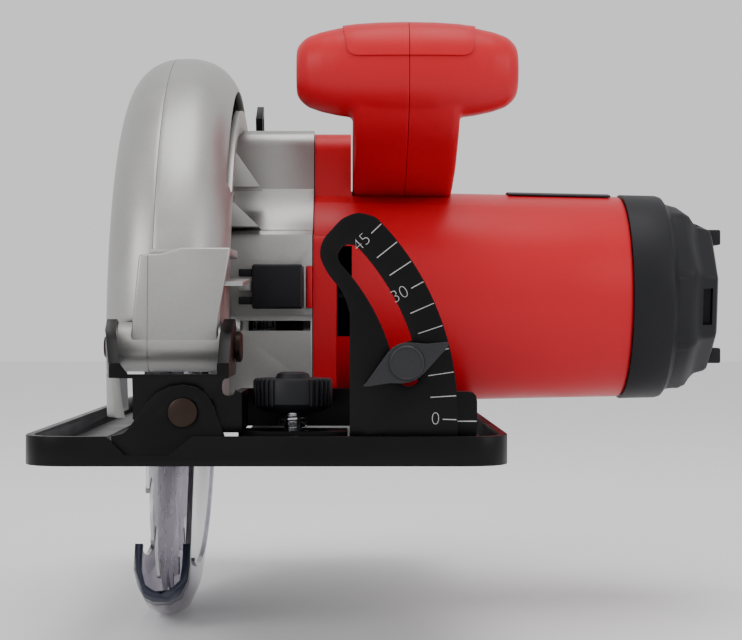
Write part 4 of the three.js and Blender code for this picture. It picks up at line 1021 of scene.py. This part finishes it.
def make_blade():
    pitch = 2 * math.pi / TEETH
    outline = []
    for i in range(TEETH):
        start = i * pitch
        outline.append((BLADE_RADIUS - 0.3 * MM, start))
        outline.append((BLADE_RADIUS - 6 * MM, start + pitch * 0.02))
        for part, drop in ((0.08, 9), (0.17, 10.2), (0.26, 9.4), (0.36, 7), (0.62, 3), (0.9, 1.1)):
            outline.append((BLADE_RADIUS - drop * MM, start + pitch * part))
    points = [(SPINDLE.y + r * math.cos(a), SPINDLE.z + r * math.sin(a)) for r, a in outline]
    mid = (BLADE_LOW.x + BLADE_HIGH.x) / 2
    plate = prism(points, 0, mid - 0.55 * MM, mid + 0.55 * MM)
    bore = turned([(mid - 1, 0), (mid - 1, 5.2 * MM), (mid + 1, 5.2 * MM), (mid + 1, 0)], SPINDLE, 48)
    slot = block((mid - 2 * MM, SPINDLE.y + 62 * MM, SPINDLE.z - 0.35 * MM),
                 (mid + 2 * MM, SPINDLE.y + 88 * MM, SPINDLE.z + 0.35 * MM))
    slots = repeated(slot, MATERIALS["bright_steel"], 4, 90, 15 * 1.25, centre=SPINDLE)
    plate = carve(carve(plate, bore), slots)
    piece("blade_plate", smooth(soften(plate, 0.12 * MM, 1, 50)), "spindle", "bright_steel", "blade")
    tip = block((mid - 0.8 * MM, SPINDLE.y + BLADE_RADIUS - 7 * MM, SPINDLE.z - 0.2 * MM),
                (mid + 0.8 * MM, SPINDLE.y + BLADE_RADIUS, SPINDLE.z + 1.6 * MM))
    tips = repeated(soften(tip, 0.15 * MM, 1), CARBIDE, TEETH, 360 / TEETH, centre=SPINDLE)
    piece("blade_tips", tips, "spindle", "bright_steel", material=CARBIDE)


# ---- bevel scale, lever and guide knob --------------------------------------------------------------

QUADRANT_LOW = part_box("bevel_quadrant")[0]
SCALE_RADIUS = 83.3 * MM
SCALE_START = -1.5                   # degrees below level at which the scale reads 0
MARK_DEPTH = 0.12 * MM
MARK_WIDTH = 0.26 * MM


def tick(length):
    """One mark that runs in from the quadrant's edge, level with the bevel axis."""
    return block((TILT.x + SCALE_RADIUS - length, QUADRANT_LOW.y - MARK_DEPTH, TILT.z - MARK_WIDTH / 2),
                 (TILT.x + SCALE_RADIUS, QUADRANT_LOW.y + 0.3 * MM, TILT.z + MARK_WIDTH / 2))


def number(value, height):
    """A thin numeral as a mesh, its middle on the origin, reading along +X in the X-Z plane."""
    curve = bpy.data.curves.new("number", "FONT")
    curve.body = str(value)
    curve.size = height
    curve.extrude = MARK_DEPTH
    curve.offset = -0.03 * height
    curve.align_x = "CENTER"
    curve.align_y = "CENTER"
    mesh = settle(loose_object("number", curve))
    mesh.transform(Matrix.Rotation(math.pi / 2, 4, "X"))
    bm = bmesh.new()
    bm.from_mesh(mesh)
    bmesh.ops.remove_doubles(bm, verts=bm.verts, dist=0.005 * MM)
    return from_bmesh(bm)


def make_bevel_scale():
    axis, centre = (0, -1, 0), (TILT.x, QUADRANT_LOW.y, TILT.z)
    marks = [
        repeated(tick(7.8 * MM), MARK_PAINT, 3, 15, SCALE_START + 5, axis, centre),
        repeated(tick(7.8 * MM), MARK_PAINT, 3, 15, SCALE_START + 10, axis, centre),
        repeated(tick(7.8 * MM), MARK_PAINT, 1, 15, SCALE_START + 15, axis, centre),
        repeated(tick(4.2 * MM), MARK_PAINT, 2, 30, SCALE_START, axis, centre),
        repeated(tick(4.2 * MM), MARK_PAINT, 1, 30, SCALE_START + 45, axis, centre),
    ]
    for value in (0, 30, 45):
        angle = math.radians(SCALE_START + value)
        figure = number(value, 5.6 * MM)
        reach = SCALE_RADIUS - (6.4 if value == 0 else 8.2) * MM
        place = Matrix.Translation((TILT.x, QUADRANT_LOW.y - MARK_DEPTH / 2, TILT.z))
        turn = Matrix.Rotation(-angle, 4, "Y")
        figure.transform(place @ turn @ Matrix.Translation((reach, 0, 0)))
        marks.append(figure)
    piece("bevel_scale", fuse(*marks), "base", "black_steel", material=MARK_PAINT)
    low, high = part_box("front_bracket")
    pointer = block((high.x - 6 * MM, low.y - MARK_DEPTH, 13.1 * MM),
                    (high.x - 0.2 * MM, low.y + 0.2 * MM, 13.45 * MM))
    piece("bevel_pointer", pointer, "tilt_frame", "black_steel", material=MARK_PAINT)


def make_bevel_lever():
    low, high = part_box("bevel_lever")
    wings = [(-13.3, -7.0), (-12.2, -6.1), (-8.6, -1.0), (-4.8, 4.2), (-1.5, 6.1), (2.2, 6.1), (6, 5.7),
             (12.5, 6.3), (12.6, 5.2), (5.2, -3.2), (2.2, -5.5), (-1.2, -6.2), (-5, -6.0), (-11.5, -7.1)]
    plate = prism(rounded([(CLAMP.x + x * MM, CLAMP.z + z * MM) for x, z in wings], 1.6 * MM, 4), 1,
                  low.y + 1.6 * MM, high.y - 0.1 * MM)
    plate = soften(plate, 0.9 * MM, 3, 40)
    hub = turned_about(mm((0, 0), (0, 5.5), (4.4, 5.5), (5.2, 5.1), (5.4, 4.7), (5.2, 4.5), (5.2, 0)),
                       Vector((CLAMP.x, high.y - 0.2 * MM, CLAMP.z)), "Y", 72)
    hub = flipped(hub, high.y - 0.2 * MM)
    piece("bevel_lever_grip", smooth(fuse(plate, hub)), "bevel_lever", "lever_grey", "bevel_lever")


def make_guide_knob():
    foot = Vector((KNOB.x, KNOB.y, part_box("guide_knob")[0].z))
    drum = turned_about(mm((0, 0), (0, 9.4), (1.6, 11.6), (2.6, 12.5), (9.6, 12.5), (10.4, 11.9),
                           (10.5, 5.6), (11.9, 4.9), (12.4, 3.6), (12.4, 0)), foot, "Z", 96)
    rib = soften(block((KNOB.x + 12.1 * MM, KNOB.y - 0.5 * MM, foot.z + 1.9 * MM),
                       (KNOB.x + 13.35 * MM, KNOB.y + 0.5 * MM, foot.z + 10.4 * MM)), 0.35 * MM, 2)
    finish = MATERIALS["black_plastic"]
    group = repeated(rib, finish, 5, 8.5, 45 - 17, (0, 0, 1), KNOB)
    ribs = repeated(group, finish, 4, 90, 0, (0, 0, 1), KNOB)
    piece("guide_knob_grip", smooth(fuse(drum, ribs)), "guide_knob", "black_plastic", "guide_knob")
    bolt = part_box("guide_knob_bolt")[0].z
    core = turned_about(mm((0, 0), (0, 2.4), (0.4, 2.7), (8, 2.7), (8, 0)), Vector((KNOB.x, KNOB.y, bolt)),
                        "Z", 40)
    thread = turned_about(mm((0, 2.5), (0.35, 3), (0.5, 3), (0.85, 2.5)),
                          Vector((KNOB.x, KNOB.y, bolt + 0.3 * MM)), "Z", 40)
    threads = repeated(thread, MATERIALS["bright_steel"], 8, shift=(0, 0, 0.95 * MM))
    piece("guide_knob_stud", smooth(fuse(core, threads)), "guide_knob", "bright_steel", "guide_knob_bolt")


# ---- pins, rivets and buttons -----------------------------------------------------------------------

def make_pins():
    for node in ("front_tilt_rivet", "rear_tilt_rivet"):
        low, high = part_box(node)
        length = high.y - low.y
        tail = [(length - 1.2 * MM, 3 * MM), (length - 1.2 * MM, 4.6 * MM), (length - 0.3 * MM, 4.6 * MM),
                (length, 4.1 * MM), (length, 0)]
        shape = turned_about(mm((0, 0), (0, 3.6), (0.4, 4.4), (1.5, 4.4), (1.5, 3)) + tail,
                             Vector((TILT.x, low.y, TILT.z)), "Y", 64)
        if node == "rear_tilt_rivet":
            shape = flipped(shape, (low.y + high.y) / 2)
        piece(node + "_set", smooth(shape), "base", "dark_steel", node)
    low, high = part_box("hinge_pin")
    end = low.x + 1.4 * MM
    pin = turned([(end, 0), (end, 3.1 * MM), (end + 0.5 * MM, 3.6 * MM), (high.x - 2 * MM, 3.6 * MM),
                  (high.x - 2 * MM, 5 * MM), (high.x - 0.6 * MM, 5 * MM), (high.x, 4 * MM), (high.x, 0)],
                 HINGE, 64)
    piece("hinge_pin_set", smooth(pin), "tilt_frame", "dark_steel", "hinge_pin")


def make_cord_gland():
    root = middle("cord_gland")
    root.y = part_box("cord_gland")[0].y
    sleeve = turned_about(mm((0, 3.8), (0, 7), (15.5, 7), (16.5, 6.2), (20, 5.5), (20.8, 5), (20.8, 3.8)),
                          root, "Y", 64)
    groove = turned_about(mm((15, 6.3), (15, 8), (15.8, 8), (15.8, 6.3)),
                          Vector((root.x, root.y - 1.2 * MM, root.z)), "Y", 64)
    rings = repeated(groove, MATERIALS["black_plastic"], 3, shift=(0, -1.6 * MM, 0))
    piece("cord_gland_sleeve", smooth(carve(sleeve, rings)), "saw", "black_plastic", "cord_gland")


def make_lock_block():
    low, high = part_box("spindle_lock_button")
    face = soften(block((-9.6 * MM, low.y, low.z), (high.x, low.y + 5.9 * MM, high.z)), 0.9 * MM, 3)
    guide = soften(block((low.x, -37.5 * MM, 49.8 * MM), (-8.8 * MM, -34.6 * MM, 52.6 * MM)), 0.4 * MM)
    guides = repeated(guide, MATERIALS["black_plastic"], 2, shift=(0, 0, 10.1 * MM))
    stem = turned_about(mm((0, 0), (0, 3), (12, 3), (12, 0)),
                        Vector((2 * MM, low.y + 5.5 * MM, 56.2 * MM)), "Y", 40)
    piece("spindle_lock_block", smooth(fuse(face, guides, stem)), "spindle_lock", "black_plastic",
          "spindle_lock_button")
    bar_between = soften(block(*mm((-14.6, -35.8, 54.6), (-9.9, -30.4, 58.2))), 0.4 * MM)
    edge_strip = soften(block((high.x + 0.2 * MM, -35.2 * MM, 48.4 * MM),
                              (high.x + 1.0 * MM, -29.4 * MM, 64 * MM)), 0.25 * MM)
    piece("lock_block_guides", smooth(fuse(bar_between, edge_strip)), "saw", "grey_casting")


# ---- pieces -----------------------------------------------------------------------------------

EDGED = [
    # node, body, slot, radius of its edges in millimetres
    ("base_plate", "base", "black_steel", 0.7),
    ("guide_clamp", "base", "black_steel", 0.5),
    ("depth_guide", "tilt_frame", "black_steel", 0.4),
    ("bevel_quadrant", "base", "black_steel", 0.4),
    ("name_plate", "saw", "lever_grey", 0.2),
    ("depth_lock_lever", "depth_lock", "lever_grey", 0.8),
    ("guard_lever", "lower_guard", "black_steel", 0.5),
    ("trigger", "trigger", "black_plastic", 0.8),
    ("lock_off_button", "lock_off", "black_plastic", 0.6),
    ("blade_bolt", "spindle", "dark_steel", 0.4),
]
EAR_DRAW = 4.8 * MM                  # how far the bracket's left ear is drawn in at its plate
EAR_INSIDE = -46.9 * MM              # the ear is all that lies left of this
SHOULDER = mm((-47, 20), (-40.9, 26.3))  # the plate's left corner below the ear: as framed, as pressed


def make_edged_pieces():
    for node, body, slot, width in EDGED:
        mesh = smooth(soften(node_copy(node), width * MM))
        piece(node + "_finished", mesh, body, slot, node)


def make_front_bracket():
    """The bracket, with its left ear drawn in towards the plate that it is folded from."""
    mesh = node_copy("front_bracket")
    plate_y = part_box("front_bracket")[0].y
    fold = HINGE.y - BARREL_RADIUS
    framed, pressed = SHOULDER
    for vertex in mesh.vertices:
        x, y, z = vertex.co
        if abs(x - framed[0]) < 0.1 * MM and z < framed[1] + 1 * MM:
            vertex.co.x, vertex.co.z = pressed
        elif x < EAR_INSIDE and y < fold:
            vertex.co.x += EAR_DRAW * min(1, (fold - y) / (fold - plate_y))
    mesh = smooth(soften(mesh, 0.45 * MM))
    piece("front_bracket_finished", mesh, "tilt_frame", "black_steel", "front_bracket")


def dress_frame_nodes():
    """Gives every frame node the finish of its slot, for those that stay in view."""
    slots = {row["node"]: row["material_slot"] for row in frame["record"]["subparts"]}
    for name, node in NODES.items():
        node.data.materials.clear()
        node.data.materials.append(MATERIALS[slots[name]])


dress_frame_nodes()
make_edged_pieces()
make_front_bracket()
make_hood()
make_gear_housing()
make_motor_housing()
make_rear_cap()
make_t_handle()
make_main_handle()
make_lower_guard()
make_blade()
make_bevel_scale()
make_bevel_lever()
make_guide_knob()
make_pins()
make_cord_gland()
make_lock_block()
make_camera()
make_studio()
